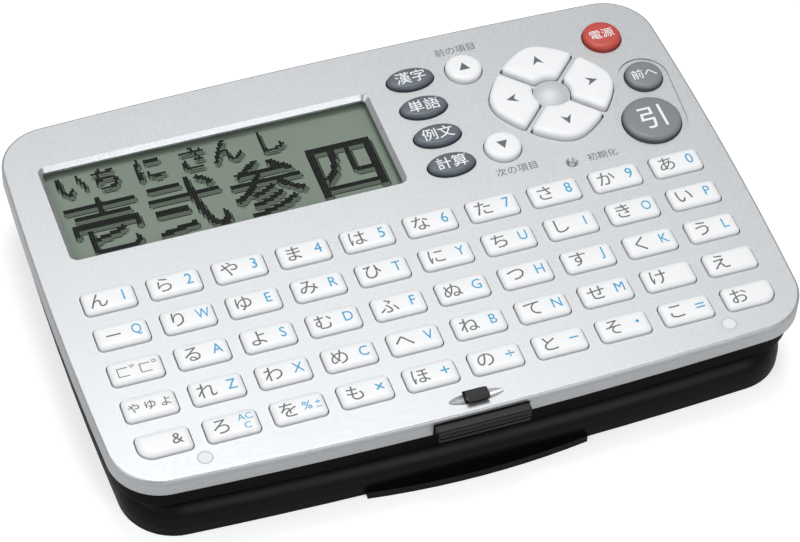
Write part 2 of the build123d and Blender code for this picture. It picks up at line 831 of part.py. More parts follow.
# ================================================================ screws and plugs
with BuildPart() as case_screws:
    with BuildSketch(Plane.XY.offset(face_top - plug_thickness - screw_head_height)):
        with Locations(*front_screw_places()):
            Circle(screw_head_radius)
    extrude(amount=screw_head_height)
    with BuildSketch(Plane.XY.offset(floor_top)):
        with Locations(*front_screw_places()):
            Circle(screw_radius)
    extrude(amount=face_top - plug_thickness - screw_head_height - floor_top)
    with BuildSketch(Plane.XY.offset(case_bottom)):
        with Locations(*both_sides(rear_screw)):
            Circle(screw_head_radius)
    extrude(amount=screw_head_height)
    with BuildSketch(Plane.XY.offset(case_bottom)):
        with Locations(*both_sides(rear_screw)):
            Circle(screw_radius)
    extrude(amount=plate_bottom - case_gap - case_bottom)
save("case_screws", case_screws)

with BuildPart() as screw_plugs:
    with BuildSketch(Plane.XY.offset(face_top - plug_thickness)):
        with Locations(*front_screw_places()):
            Circle(plug_radius)
    extrude(amount=plug_thickness)
save("screw_plugs", screw_plugs)

# ================================================================ cover
with BuildPart() as cover:
    with BuildSketch():
        add(cover_outline(0))
    extrude(amount=cover_height)
    fillet(cover.faces().sort_by(Axis.Z)[-1].edges(), cover_shoulder_radius)

    # crescent finger lip at the rim
    with BuildSketch():
        with BuildLine():
            lip_root = -(cover_front - cover_wall)
            lip_side = -(cover_front + lip_step)
            Line((lip_half_width, lip_side), (lip_half_width, lip_root))
            Line((lip_half_width, lip_root), (-lip_half_width, lip_root))
            Line((-lip_half_width, lip_root), (-lip_half_width, lip_side))
            ThreePointArc((-lip_half_width, lip_side), (0, -lip_front), (lip_half_width, lip_side))
        make_face()
    extrude(amount=lip_thickness)

    # hollow
    with BuildPart(mode=Mode.PRIVATE) as hollow:
        with BuildSketch():
            add(cover_outline(cover_wall))
        extrude(amount=cover_height - cover_wall)
        fillet(hollow.faces().sort_by(Axis.Z)[-1].edges(), cover_shoulder_radius - cover_wall)
    add(hollow.part, mode=Mode.SUBTRACT)

    # catch for the hook, inside the front wall
    with BuildSketch(Plane.XY.offset(catch_bottom)):
        with Locations((0, -(cover_front - cover_wall / 2))):
            Rectangle(
                2 * catch_half_width, cover_wall / 2 + catch_reach, align=(Align.CENTER, Align.MIN)
            )
    extrude(amount=catch_thickness)

    # hinge knuckles behind the rear wall
    for start, end in knuckles:
        with BuildSketch(Plane.YZ.offset(start)):
            with Locations((hinge_y, cover_axis_height)):
                Circle(knuckle_radius)
            with Locations((hinge_y, cover_axis_height)):
                Rectangle(
                    hinge_y - cover_rear + rear_bow + cover_wall / 2,
                    2 * web_half_height,
                    align=(Align.MAX, Align.CENTER),
                )
        extrude(amount=end - start)
    for start, end in knuckles:
        with BuildSketch(Plane.YZ.offset(start)):
            with Locations((hinge_y, cover_axis_height)):
                Circle(pin_radius)
        extrude(amount=end - start, mode=Mode.SUBTRACT)
save("cover", cover)

# ================================================================ hinge links and pins
with BuildPart() as hinge_links:
    for start, end in links:
        with BuildSketch(Plane.YZ.offset(start)):
            with Locations((hinge_y, (case_axis_height + cover_axis_height) / 2)):
                SlotCenterToCenter(case_axis_height - cover_axis_height, 2 * knuckle_radius, rotation=90)
            with Locations((hinge_y, case_axis_height), (hinge_y, cover_axis_height)):
                Circle(pin_radius + pin_clearance, mode=Mode.SUBTRACT)
        extrude(amount=end - start)
save("hinge_links", hinge_links)

for name, height in (("case_hinge_pins", case_axis_height), ("cover_hinge_pins", cover_axis_height)):
    with BuildPart() as pins:
        for start, end in links:
            with BuildSketch(Plane.YZ.offset(start - knuckle_gap - knuckle_width)):
                with Locations((hinge_y, height)):
                    Circle(pin_radius)
            extrude(amount=end - start + 2 * (knuckle_gap + knuckle_width))
    save(name, pins)
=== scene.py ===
"""Looks of a card-size electronic dictionary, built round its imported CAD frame.

Lengths are in millimetres in the row frame until a mesh is made: X runs along the key rows,
Y from the front edge to the hinge, and Z up out of the silver face.
"""

import logging
import math
from dataclasses import dataclass, replace
from enum import Enum
from typing import Callable, Sequence

import bmesh
import bpy
import numpy as np
from mathutils import Matrix, Vector


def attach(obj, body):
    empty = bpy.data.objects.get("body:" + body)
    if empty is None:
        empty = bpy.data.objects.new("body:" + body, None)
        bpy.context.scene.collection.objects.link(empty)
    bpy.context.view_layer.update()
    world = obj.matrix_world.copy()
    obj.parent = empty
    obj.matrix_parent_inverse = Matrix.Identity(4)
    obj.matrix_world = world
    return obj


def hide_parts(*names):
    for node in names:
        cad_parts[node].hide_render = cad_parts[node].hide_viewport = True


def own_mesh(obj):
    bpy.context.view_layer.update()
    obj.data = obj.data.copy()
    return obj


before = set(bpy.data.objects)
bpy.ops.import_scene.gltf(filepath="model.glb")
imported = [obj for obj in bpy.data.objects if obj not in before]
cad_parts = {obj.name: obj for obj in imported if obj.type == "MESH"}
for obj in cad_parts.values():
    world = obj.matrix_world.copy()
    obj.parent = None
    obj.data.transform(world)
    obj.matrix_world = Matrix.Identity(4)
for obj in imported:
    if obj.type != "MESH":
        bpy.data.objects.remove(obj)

Triple = tuple[float, float, float]
Colour = Triple
Place = tuple[float, float]
Surface = Callable[[np.ndarray, np.ndarray], np.ndarray]

LOG = logging.getLogger("dictionary")
MM = 0.001
FACE_HEIGHT = 14.5
ARROWS_CENTRE: Place = (34.5, 20.0)
DOT_PITCH = 0.425


# ---------------------------------------------------------------- shader maths
class Signal:
    """One value in a material; its operators add Math nodes to the material's tree."""

    def __init__(self, tree: bpy.types.NodeTree, socket: bpy.types.NodeSocket) -> None:
        """Keeps the tree and the output socket that carries the value."""
        self.tree = tree
        self.socket = socket

    def maths(self, operation: str, *operands: "Signal | float") -> "Signal":
        """Adds one Math node.

        Args:
            operation: the node's operation.
            operands: its inputs in order, each a signal or a number.

        Returns:
            The node's result.
        """
        node = self.tree.nodes.new("ShaderNodeMath")
        node.operation = operation
        for socket, operand in zip(node.inputs, operands):
            if isinstance(operand, Signal):
                self.tree.links.new(operand.socket, socket)
            else:
                socket.default_value = operand
        return Signal(self.tree, node.outputs[0])

    def __add__(self, other: "Signal | float") -> "Signal":
        """Sum of two values."""
        return self.maths("ADD", self, other)

    __radd__ = __add__

    def __sub__(self, other: "Signal | float") -> "Signal":
        """Difference of two values."""
        return self.maths("SUBTRACT", self, other)

    def __rsub__(self, other: float) -> "Signal":
        """Difference, with the number first."""
        return self.maths("SUBTRACT", other, self)

    def __mul__(self, other: "Signal | float") -> "Signal":
        """Product of two values."""
        return self.maths("MULTIPLY", self, other)

    __rmul__ = __mul__

    def __truediv__(self, other: "Signal | float") -> "Signal":
        """Quotient of two values."""
        return self.maths("DIVIDE", self, other)

    def __abs__(self) -> "Signal":
        """Size of the value without its sign."""
        return self.maths("ABSOLUTE", self)

    def __lt__(self, other: "Signal | float") -> "Signal":
        """1 where the value is below the other, 0 elsewhere."""
        return self.maths("LESS_THAN", self, other)

    def __gt__(self, other: "Signal | float") -> "Signal":
        """1 where the value is above the other, 0 elsewhere."""
        return self.maths("GREATER_THAN", self, other)

    def larger(self, other: "Signal | float") -> "Signal":
        """The larger of two values."""
        return self.maths("MAXIMUM", self, other)

    def wrapped(self, pitch: float) -> "Signal":
        """Distance from the nearest line of a grating of this pitch."""
        return self.maths("PINGPONG", self, pitch / 2)

    def length_with(self, other: "Signal") -> "Signal":
        """Length of the flat vector that the two values make."""
        squares = self * self + other * other
        return squares.maths("SQRT", squares)


class Recipe:
    """A material while its nodes are being added."""

    def __init__(self, name: str) -> None:
        """Starts an empty material of that name."""
        self.material = bpy.data.materials.new(name)
        self.material.use_nodes = True
        self.tree = self.material.node_tree
        self.tree.nodes.clear()

    def node(self, kind: str, settings: dict | None = None, sockets: dict | None = None) -> bpy.types.Node:
        """Adds a node of any kind.

        Args:
            kind: the node's type.
            settings: its properties, which are set first.
            sockets: its inputs by name or number, each a value, a signal or a socket to link.

        Returns:
            The node.
        """
        made = self.tree.nodes.new(kind)
        for name, value in (settings or {}).items():
            setattr(made, name, value)
        for name, value in (sockets or {}).items():
            if isinstance(value, Signal):
                self.tree.links.new(value.socket, made.inputs[name])
            elif isinstance(value, bpy.types.NodeSocket):
                self.tree.links.new(value, made.inputs[name])
            else:
                made.inputs[name].default_value = value
        return made

    def signal(self, node: bpy.types.Node, output: str | int) -> Signal:
        """One of a node's outputs as a value to calculate with."""
        return Signal(self.tree, node.outputs[output])

    def position(self) -> bpy.types.NodeSocket:
        """The point being shaded, in millimetres."""
        place = self.node("ShaderNodeTexCoord").outputs["Object"]
        scaled = self.node("ShaderNodeVectorMath", {"operation": "SCALE"}, {0: place, "Scale": 1 / MM})
        return scaled.outputs[0]

    def axes(self) -> tuple[Signal, Signal, Signal]:
        """The point's X, Y and Z in millimetres."""
        split = self.node("ShaderNodeSeparateXYZ", sockets={0: self.position()})
        return self.signal(split, 0), self.signal(split, 1), self.signal(split, 2)

    def noise(self, per_mm: float, detail: float = 2.0, roughness: float = 0.5) -> Signal:
        """Noise from 0 to 1 with so many lumps to the millimetre."""
        texture = self.node(
            "ShaderNodeTexNoise",
            sockets={"Vector": self.position(), "Scale": per_mm, "Detail": detail, "Roughness": roughness},
        )
        return self.signal(texture, 0)

    def drawn_out(self, stretch: Triple, scale: float, detail: float) -> Signal:
        """Noise with lumps longest along the axis whose stretch is least."""
        along = self.node("ShaderNodeMapping", sockets={"Vector": self.position(), "Scale": stretch})
        texture = self.node(
            "ShaderNodeTexNoise", sockets={"Vector": along.outputs[0], "Scale": scale, "Detail": detail}
        )
        return self.signal(texture, 0)

    def grains(self, per_mm: float) -> Signal:
        """Cells with a random value from 0 to 1 each, so many to the millimetre."""
        texture = self.node("ShaderNodeTexVoronoi", sockets={"Vector": self.position(), "Scale": per_mm})
        split = self.node("ShaderNodeSeparateColor", sockets={0: texture.outputs["Color"]})
        return self.signal(split, 0)

    def mixed(self, factor: Signal | float, first: Colour | bpy.types.NodeSocket,
              second: Colour | bpy.types.NodeSocket) -> bpy.types.NodeSocket:
        """Colour that goes from the first to the second as the factor goes from 0 to 1."""
        low, high = [c if isinstance(c, bpy.types.NodeSocket) else (*c, 1.0) for c in (first, second)]
        settings = {"data_type": "RGBA", "clamp_factor": True}
        return self.node("ShaderNodeMix", settings, {0: factor, 6: low, 7: high}).outputs[2]

    def bump(self, height: Signal, depth: float) -> bpy.types.NodeSocket:
        """Normal of a surface that rises by depth, in millimetres, where the height goes from 0 to 1."""
        sockets = {"Height": height, "Distance": depth * MM, "Strength": 1.0}
        return self.node("ShaderNodeBump", sockets=sockets).outputs[0]

    def surface(self, colour: Colour | bpy.types.NodeSocket, **sockets: object) -> bpy.types.Material:
        """Closes the recipe with a Principled shader.

        Args:
            colour: the base colour, plain or from a socket.
            sockets: other inputs, with underscores for the spaces in their names.

        Returns:
            The material.
        """
        base = colour if isinstance(colour, bpy.types.NodeSocket) else (*colour, 1.0)
        named = {name.replace("_", " "): value for name, value in sockets.items()}
        shader = self.node("ShaderNodeBsdfPrincipled", sockets={"Base Color": base, **named})
        self.node("ShaderNodeOutputMaterial", sockets={"Surface": shader.outputs[0]})
        return self.material


# ---------------------------------------------------------------- finishes
def scaled(colour: Colour, share: float) -> Colour:
    """A colour made darker or lighter by a share, no part of it over 1."""
    return tuple(min(1.0, share * part) for part in colour)


@dataclass(frozen=True)
class SilverPaint:
    """Fine metallic paint of the face, with a parting-line groove round the skirt that is darkened by painted
    shade.

    It is a little glossier on the bevel of the display opening, and duller on the dome between
    the arrow keys, where its paler colour is a painted highlight.
    """

    name: str = "silver_paint"
    light: Colour = (0.55, 0.56, 0.57)
    dark: Colour = (0.455, 0.465, 0.475)
    # painted highlight: the paler colour of the dome
    dome: Colour = (0.72, 0.73, 0.74)
    # painted shade: the dark colour in the parting-line groove
    line: Colour = (0.24, 0.25, 0.27)
    line_height: float = 13.62
    line_half_width: float = 0.05
    groove_shade_share: float = 0.6
    flakes_per_mm: float = 5.5
    flake_share: float = 0.75
    relief: float = 0.006
    groove_depth: float = 2.0
    metallic: float = 0.75
    roughness: float = 0.41
    flake_roughness: float = 0.10
    cloud_roughness: float = 0.05
    display_centre: Place = (-23.15, 19.05)
    display_half: Place = (27.65, 9.75)
    bevel: float = 0.72
    bevel_polish: float = 0.09
    dome_centre: Place = ARROWS_CENTRE
    dome_radius: float = 3.05
    dome_highlight_share: float = 0.7
    dome_matting: float = 0.2
    dome_dulling: float = 0.25

    def build(self) -> bpy.types.Material:
        """Makes the paint: cells of flake over slow cloudiness, and a groove at one height with painted shade
        in it.

        The bevel is where the distance outside the display opening is under its width, and the dome is
        where the distance from its centre is under its radius.
        """
        recipe = Recipe(self.name)
        flakes = recipe.grains(self.flakes_per_mm)
        clouds = recipe.noise(0.05, 3.0)
        orange_peel = recipe.noise(1.1, 2.0)
        x, y, height = recipe.axes()
        groove = abs(height - self.line_height) < self.line_half_width
        across = abs(x - self.display_centre[0]) - self.display_half[0]
        along = abs(y - self.display_centre[1]) - self.display_half[1]
        bevel = across.larger(along) < self.bevel
        dome = (x - self.dome_centre[0]).length_with(y - self.dome_centre[1]) < self.dome_radius
        unevenness = (flakes - 0.5) * self.flake_roughness + (clouds - 0.5) * self.cloud_roughness
        tone = flakes * self.flake_share + clouds * (1 - self.flake_share)
        paint = recipe.mixed(tone, self.dark, self.light)
        # painted highlight: the paint turns paler over the dome
        with_dome_highlight = recipe.mixed(dome * self.dome_highlight_share, paint, self.dome)
        return recipe.surface(
            # painted shade: the paint turns dark in the groove
            recipe.mixed(groove * self.groove_shade_share, with_dome_highlight, self.line),
            Metallic=self.metallic - dome * self.dome_dulling,
            Roughness=self.roughness + unevenness - bevel * self.bevel_polish + dome * self.dome_matting,
            Normal=recipe.bump(flakes * 0.55 + orange_peel * 0.45 - groove * self.groove_depth, self.relief),
            Coat_Weight=0.12,
            Coat_Roughness=0.18,
        )


@dataclass(frozen=True)
class KeyPlastic:
    """Satin moulded plastic of the keys: faint mottling, a fine matt texture on the caps, and painted shade
    on the sides.
    """

    name: str
    colour: Colour
    # painted shade: the darker colour of the key's sides
    side: Colour
    shaded_side_top: float = 14.75
    shaded_side_blend: float = 0.45
    roughness: float = 0.42
    coat: float = 0.25

    def build(self) -> bpy.types.Material:
        """Makes the plastic: the painted shade of the sides blends into the colour of the cap with height."""
        recipe = Recipe(self.name)
        mottling = recipe.noise(0.35, 3.0)
        texture = recipe.noise(14.0, 2.0)
        _, _, height = recipe.axes()
        share_above_painted_shade = (height - self.shaded_side_top) / self.shaded_side_blend
        # painted shade: the sides take a darker colour below the cap
        body = recipe.mixed(share_above_painted_shade, self.side, self.colour)
        return recipe.surface(
            recipe.mixed((mottling - 0.35) * 0.5, body, scaled(self.colour, 0.94)),
            Roughness=self.roughness + (mottling - 0.5) * 0.08 + (texture - 0.5) * 0.06,
            Normal=recipe.bump(texture * 0.6 + mottling * 0.4, 0.004),
            Coat_Weight=self.coat,
            Coat_Roughness=0.25,
            Specular_IOR_Level=0.45,
        )


@dataclass(frozen=True)
class PlugPlastic:
    """Pale satin plastic of the two round plugs, with a shadow line round the edge of each."""

    name: str = "plug_plastic"
    colour: Colour = (0.80, 0.81, 0.82)
    # painted shadow: the dark ring round the edge of the plug
    gap_shadow: Colour = (0.30, 0.31, 0.32)
    gap_shadow_share: float = 0.6
    centre: Place = (43.0, -34.9)
    gap_shadow_radius: float = 1.04

    def build(self) -> bpy.types.Material:
        """Makes the plastic: the painted shadow line is where the distance from the plug's centre passes a
        radius.
        """
        recipe = Recipe(self.name)
        x, y, _ = recipe.axes()
        out = (abs(x) - self.centre[0]).length_with(y - self.centre[1])
        texture = recipe.noise(12.0, 2.0)
        body = recipe.mixed(texture * 0.6, self.colour, scaled(self.colour, 0.93))
        return recipe.surface(
            recipe.mixed((out > self.gap_shadow_radius) * self.gap_shadow_share, body, self.gap_shadow),
            Roughness=0.42 + (texture - 0.5) * 0.1,
            Normal=recipe.bump(texture, 0.004),
        )


@dataclass(frozen=True)
class MouldedPlastic:
    """Dark moulded plastic with a spark-eroded texture and faint handling marks."""

    name: str
    colour: Colour
    worn: Colour
    texture_per_mm: float = 6.0
    texture_depth: float = 0.008
    roughness: float = 0.42
    gloss: float = 0.28
    smear: Triple = (0.05, 0.5, 0.5)

    def build(self) -> bpy.types.Material:
        """Makes the plastic: pits from fine noise, and smears from noise drawn out along X."""
        recipe = Recipe(self.name)
        pits = recipe.noise(self.texture_per_mm, 3.0, 0.6)
        clouds = recipe.noise(0.08, 4.0)
        smears = recipe.drawn_out(self.smear, 1.0, 4.0)
        return recipe.surface(
            recipe.mixed((clouds - 0.35) * 0.7 + (pits - 0.5) * 0.3, self.colour, self.worn),
            Roughness=self.roughness + (smears - 0.5) * 0.14 + (clouds - 0.5) * 0.08,
            Normal=recipe.bump(pits, self.texture_depth),
            Specular_IOR_Level=self.gloss,
        )


@dataclass(frozen=True)
class SoftRubber:
    """Plain matt rubber with a dusty bloom."""

    name: str
    colour: Colour
    bloom: Colour

    def build(self) -> bpy.types.Material:
        """Makes the rubber: bloom where slow noise is high, over a fine grain."""
        recipe = Recipe(self.name)
        bloom = recipe.noise(0.3, 4.0)
        grain = recipe.noise(9.0, 2.0)
        return recipe.surface(
            recipe.mixed((bloom - 0.4) * 0.9, self.colour, self.bloom),
            Roughness=0.78 + (grain - 0.5) * 0.12,
            Normal=recipe.bump(grain, 0.01),
        )


@dataclass(frozen=True)
class DrawnMetal:
    """Bare metal with fine draw lines along one direction."""

    name: str
    colour: Colour
    stretch: Triple = (0.15, 6.0, 6.0)
    roughness: float = 0.3

    def build(self) -> bpy.types.Material:
        """Makes the metal: noise squeezed across the draw lines sets shade, roughness and relief."""
        recipe = Recipe(self.name)
        lines = recipe.drawn_out(self.stretch, 1.5, 3.0)
        tarnish = recipe.noise(0.4, 3.0)
        return recipe.surface(
            recipe.mixed(lines * 0.5 + tarnish * 0.3, self.colour, scaled(self.colour, 0.7)),
            Metallic=1.0,
            Roughness=self.roughness + (lines - 0.5) * 0.2 + (tarnish - 0.5) * 0.1,
            Normal=recipe.bump(lines, 0.003),
        )


@dataclass(frozen=True)
class BoardLaminate:
    """Circuit board: solder mask over tracks that run in both directions, with plated spots."""

    name: str = "board_laminate"
    mask: Colour = (0.02, 0.13, 0.05)
    track: Colour = (0.04, 0.22, 0.09)
    plated: Colour = (0.72, 0.6, 0.35)
    pitch: float = 1.3
    track_half_width: float = 0.16
    pad_radius: float = 0.33
    along_y_over: float = 0.52
    along_x_under: float = 0.47
    pads_over: float = 0.6

    def build(self) -> bpy.types.Material:
        """Makes the board: tracks on a square grating, broken up by noise, and pads at some crossings."""
        recipe = Recipe(self.name)
        x, y, _ = recipe.axes()
        across = x.wrapped(self.pitch)
        down = y.wrapped(self.pitch)
        here = recipe.noise(0.22, 1.0)
        along_y = (across < self.track_half_width) * (here > self.along_y_over)
        along_x = (down < self.track_half_width) * (here < self.along_x_under)
        tracks = along_y + along_x
        spot = across.length_with(down) < self.pad_radius
        pads = spot * (recipe.noise(0.6, 0.0) > self.pads_over)
        green = recipe.mixed(tracks, self.mask, self.track)
        return recipe.surface(
            recipe.mixed(pads, green, self.plated),
            Metallic=pads * 0.9,
            Roughness=0.38 - tracks * 0.06 + recipe.noise(2.0, 2.0) * 0.08,
            Normal=recipe.bump(tracks + pads, 0.03),
        )


@dataclass(frozen=True)
class CrystalCell:
    """Grey-green liquid crystal cell, with the faint grid of its unlit dots."""

    name: str = "crystal_cell"
    colour: Colour = (0.245, 0.285, 0.235)
    shaded: Colour = (0.20, 0.24, 0.20)
    gap: Colour = (0.27, 0.31, 0.26)
    gap_half_width: float = 0.03

    def build(self) -> bpy.types.Material:
        """Makes the cell: slow patchiness, and a grating of thin lines between the dots."""
        recipe = Recipe(self.name)
        x, y, _ = recipe.axes()
        across = x.wrapped(DOT_PITCH) < self.gap_half_width
        between = across.larger(y.wrapped(DOT_PITCH) < self.gap_half_width)
        patches = recipe.noise(0.06, 3.0)
        sparkle = recipe.noise(18.0, 1.0)
        base = recipe.mixed(patches, self.shaded, self.colour)
        return recipe.surface(
            recipe.mixed(between * 0.35 + (sparkle - 0.5) * 0.2, base, self.gap),
            Roughness=0.34 + (sparkle - 0.5) * 0.12,
            Normal=recipe.bump(sparkle, 0.002),
        )


@dataclass(frozen=True)
class ClearSheet:
    """Polished clear window: mostly see-through, with a gloss that grows at low angles."""

    name: str = "clear_sheet"
    least_gloss: float = 0.012
    tint: Colour = (0.95, 0.965, 0.95)
    gloss_roughness: float = 0.05

    def build(self) -> bpy.types.Material:
        """Makes the sheet: the share of gloss is g + (1 - g) s^5 with s the slant of the view."""
        recipe = Recipe(self.name)
        smudge = recipe.noise(0.12, 4.0)
        clear = recipe.node("ShaderNodeBsdfTransparent", sockets={0: (*self.tint, 1.0)})
        gloss = recipe.node(
            "ShaderNodeBsdfPrincipled",
            sockets={
                "Base Color": (0.9, 0.92, 0.92, 1.0),
                "Metallic": 1.0,
                "Roughness": self.gloss_roughness + smudge * 0.06,
            },
        )
        slant = recipe.signal(recipe.node("ShaderNodeLayerWeight"), "Facing")
        reflected = self.least_gloss + slant.maths("POWER", slant, 5.0) * (1 - self.least_gloss)
        share = reflected + smudge * 0.01
        mix = recipe.node("ShaderNodeMixShader", sockets={0: share, 1: clear.outputs[0], 2: gloss.outputs[0]})
        recipe.node("ShaderNodeOutputMaterial", sockets={"Surface": mix.outputs[0]})
        return recipe.material


@dataclass(frozen=True)
class PrintedInk:
    """Ink printed on a key or on the face, a little uneven in tone; the same finish colours the display's
    dots and their painted shadow.
    """

    name: str
    colour: Colour
    gloss: float = 0.3

    def build(self) -> bpy.types.Material:
        """Makes the ink: tone and gloss wander with fine noise."""
        recipe = Recipe(self.name)
        speckle = recipe.noise(7.0, 3.0)
        return recipe.surface(
            recipe.mixed((speckle - 0.4) * 0.8, self.colour, scaled(self.colour, 1.15)),
            Roughness=0.5 + (speckle - 0.5) * 0.15,
            Specular_IOR_Level=self.gloss,
        )


class Ink(Enum):
    """The inks and dot colours that lettering is made in."""

    DARK = PrintedInk("dark_ink", (0.14, 0.14, 0.145))
    BLUE = PrintedInk("blue_ink", (0.03, 0.35, 0.60))
    WHITE = PrintedInk("white_ink", (0.86, 0.87, 0.88))
    GREY = PrintedInk("grey_ink", (0.13, 0.135, 0.145))
    DOT = PrintedInk("crystal_dot", (0.008, 0.009, 0.008), 0.0)
    # painted shadow of the display's dots, and its paler edge
    DOT_SHADOW = PrintedInk("crystal_shadow", (0.145, 0.172, 0.14), 0.0)
    DOT_SHADOW_EDGE = PrintedInk("crystal_shadow_edge", (0.19, 0.225, 0.185), 0.0)


class Material(Enum):
    """Every finish that a solid piece can have."""

    SILVER = SilverPaint()
    # The second colour of each key plastic is painted shade on the key's sides.
    WHITE_KEY = KeyPlastic("white_key_plastic", (0.88, 0.885, 0.89), (0.83, 0.835, 0.845))
    PEARL_KEY = KeyPlastic("pearl_key_plastic", (0.88, 0.885, 0.895), (0.83, 0.835, 0.85))
    SLATE_KEY = KeyPlastic("slate_key_plastic", (0.10, 0.12, 0.145), (0.04, 0.05, 0.065), 14.7, 0.5, 0.45)
    GREY_KEY = KeyPlastic("grey_key_plastic", (0.212, 0.22, 0.228), (0.08, 0.088, 0.096), 14.65, 0.5, 0.45)
    RED_KEY = KeyPlastic("red_key_plastic", (0.545, 0.06, 0.04), (0.40, 0.035, 0.025), 14.8, 0.5, 0.42, 0.15)
    CASE_BLACK = MouldedPlastic(
        "case_plastic", (0.003, 0.003, 0.0035), (0.006, 0.006, 0.0065), roughness=0.55, gloss=0.06
    )
    COVER_BLACK = MouldedPlastic(
        "cover_plastic", (0.003, 0.003, 0.0035), (0.0055, 0.006, 0.007), 7.0, 0.005, 0.36, 0.15
    )
    SLIDER_BLACK = MouldedPlastic(
        "slider_plastic", (0.006, 0.006, 0.0065), (0.011, 0.011, 0.012), 8.0, 0.005, 0.36, 0.24
    )
    FRAME_BLACK = MouldedPlastic("frame_plastic", (0.02, 0.02, 0.02), (0.035, 0.035, 0.035), 5.0)
    CHIP_BLACK = MouldedPlastic("chip_plastic", (0.014, 0.014, 0.015), (0.03, 0.03, 0.03), 9.0, 0.01, 0.6)
    RESET_GREY = MouldedPlastic("reset_plastic", (0.42, 0.43, 0.44), (0.52, 0.53, 0.54), 8.0)
    PLUG = PlugPlastic()
    RUBBER = SoftRubber("black_rubber", (0.012, 0.012, 0.012), (0.035, 0.035, 0.034))
    MAT_RUBBER = SoftRubber("mat_rubber", (0.50, 0.50, 0.47), (0.60, 0.60, 0.57))
    STRIPED_RUBBER = SoftRubber("connector_rubber", (0.10, 0.10, 0.11), (0.35, 0.32, 0.32))
    STEEL = DrawnMetal("ground_steel", (0.56, 0.56, 0.57))
    NICKEL = DrawnMetal("nickel_plate", (0.66, 0.64, 0.60), (1.5, 1.5, 6.0), 0.22)
    BRASS = DrawnMetal("spring_brass", (0.72, 0.52, 0.24), (0.6, 5.0, 5.0), 0.3)
    BOARD = BoardLaminate()
    CELL = CrystalCell()
    WINDOW = ClearSheet()


class Palette:
    """Makes each finish once and hands it out."""

    def __init__(self) -> None:
        """Starts with nothing made."""
        self.made: dict[Enum, bpy.types.Material] = {}

    def of(self, choice: Enum) -> bpy.types.Material:
        """The Blender material of a finish or an ink."""
        if choice not in self.made:
            self.made[choice] = choice.value.build()
        return self.made[choice]


PALETTE = Palette()


# ---------------------------------------------------------------- meshes
@dataclass
class Skin:
    """A mesh in millimetres: an array of points, and faces as lists of point numbers."""

    points: np.ndarray
    faces: list[Sequence[int]]


def joined(skins: Sequence[Skin]) -> Skin:
    """Several skins as one."""
    starts = np.cumsum([0] + [len(skin.points) for skin in skins[:-1]])
    faces: list[Sequence[int]] = []
    for start, skin in zip(starts.tolist(), skins):
        faces += [[start + corner for corner in face] for face in skin.faces]
    return Skin(np.concatenate([skin.points for skin in skins]), faces)


def lofted(rings: np.ndarray) -> Skin:
    """Closed skin over a stack of rings, each counted anticlockwise seen from above, from low to high.

    Quad (i, j) joins points j and j + 1 of ring i to the same points of ring i + 1. The first and the
    last ring are closed by a fan of triangles round their mean point.

    Args:
        rings: an array of (rings, points, 3).

    Returns:
        The skin, with its faces outwards.
    """
    count, around, _ = rings.shape
    index = np.arange(count * around).reshape(count, around)
    after = np.roll(index, -1, axis=1)
    quads = np.stack([index[:-1], after[:-1], after[1:], index[1:]], axis=-1).reshape(-1, 4)
    low = np.full(around, count * around)
    high = low + 1
    fans = np.concatenate([
        np.stack([after[0], index[0], low], axis=-1),
        np.stack([index[-1], after[-1], high], axis=-1),
    ])
    points = np.concatenate([rings.reshape(-1, 3), rings[0].mean(0)[None], rings[-1].mean(0)[None]])
    return Skin(points, quads.tolist() + fans.tolist())


def boxes(low: np.ndarray, high: np.ndarray) -> Skin:
    """One closed box for each pair of corners.

    Each corner of a box takes its X, Y and Z from the low or the high corner, by the bits of its number.

    Args:
        low: an array of (boxes, 3).
        high: the same for the opposite corners.

    Returns:
        All the boxes as one skin.
    """
    bits = np.array([[n >> 2 & 1, n >> 1 & 1, n & 1] for n in range(8)])
    points = np.where(bits[None], high[:, None], low[:, None]).reshape(-1, 3)
    sides = np.array([[0, 1, 3, 2], [4, 6, 7, 5], [0, 4, 5, 1], [2, 3, 7, 6], [0, 2, 6, 4], [1, 5, 7, 3]])
    faces = (sides[None] + 8 * np.arange(len(low))[:, None, None]).reshape(-1, 4)
    return Skin(points, faces.tolist())


def prism(outline: np.ndarray, low: float, high: float) -> Skin:
    """Flat shape with an anticlockwise outline, carried from one height to another."""
    around = len(outline)
    points = np.concatenate([np.column_stack([outline, np.full(around, z)]) for z in (low, high)])
    index = np.arange(around)
    after = np.roll(index, -1)
    sides = np.stack([index, after, after + around, index + around], axis=-1).tolist()
    return Skin(points, [index[::-1].tolist(), (index + around).tolist(), *sides])


def put_in_scene(name: str, data: bpy.types.ID) -> bpy.types.Object:
    """A new object in the scene that shows a mesh, a word, a lamp or a camera."""
    made = bpy.data.objects.new(name, data)
    bpy.context.scene.collection.objects.link(made)
    return made


def turned(points: np.ndarray, turn: float) -> np.ndarray:
    """Flat points turned anticlockwise by an angle: (x cos t - y sin t, x sin t + y cos t)."""
    return points @ np.array([[math.cos(turn), math.sin(turn)], [-math.sin(turn), math.cos(turn)]])


def make_piece(name: str, skin: Skin, finish: Enum, body: str, replaced: Sequence[str] = (),
               crease: float = 35.0) -> bpy.types.Object:
    """Turns a skin into a Blender piece that rides on a body.

    Args:
        name: the piece's name.
        skin: its mesh in millimetres.
        finish: a Material or an Ink.
        body: the CAD body that carries it.
        replaced: the CAD nodes that it stands for.
        crease: the angle in degrees past which an edge is sharp.

    Returns:
        The Blender object.
    """
    mesh = bpy.data.meshes.new(name)
    mesh.from_pydata((skin.points * MM).tolist(), [], skin.faces)
    mesh.polygons.foreach_set("use_smooth", np.ones(len(mesh.polygons), bool))
    mesh.set_sharp_from_angle(angle=math.radians(crease))
    mesh.materials.append(PALETTE.of(finish))
    piece = put_in_scene(name, mesh)
    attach(piece, body)
    if replaced:
        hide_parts(*replaced)
    LOG.info("%s: %d faces on %s", name, len(mesh.polygons), body)
    return piece


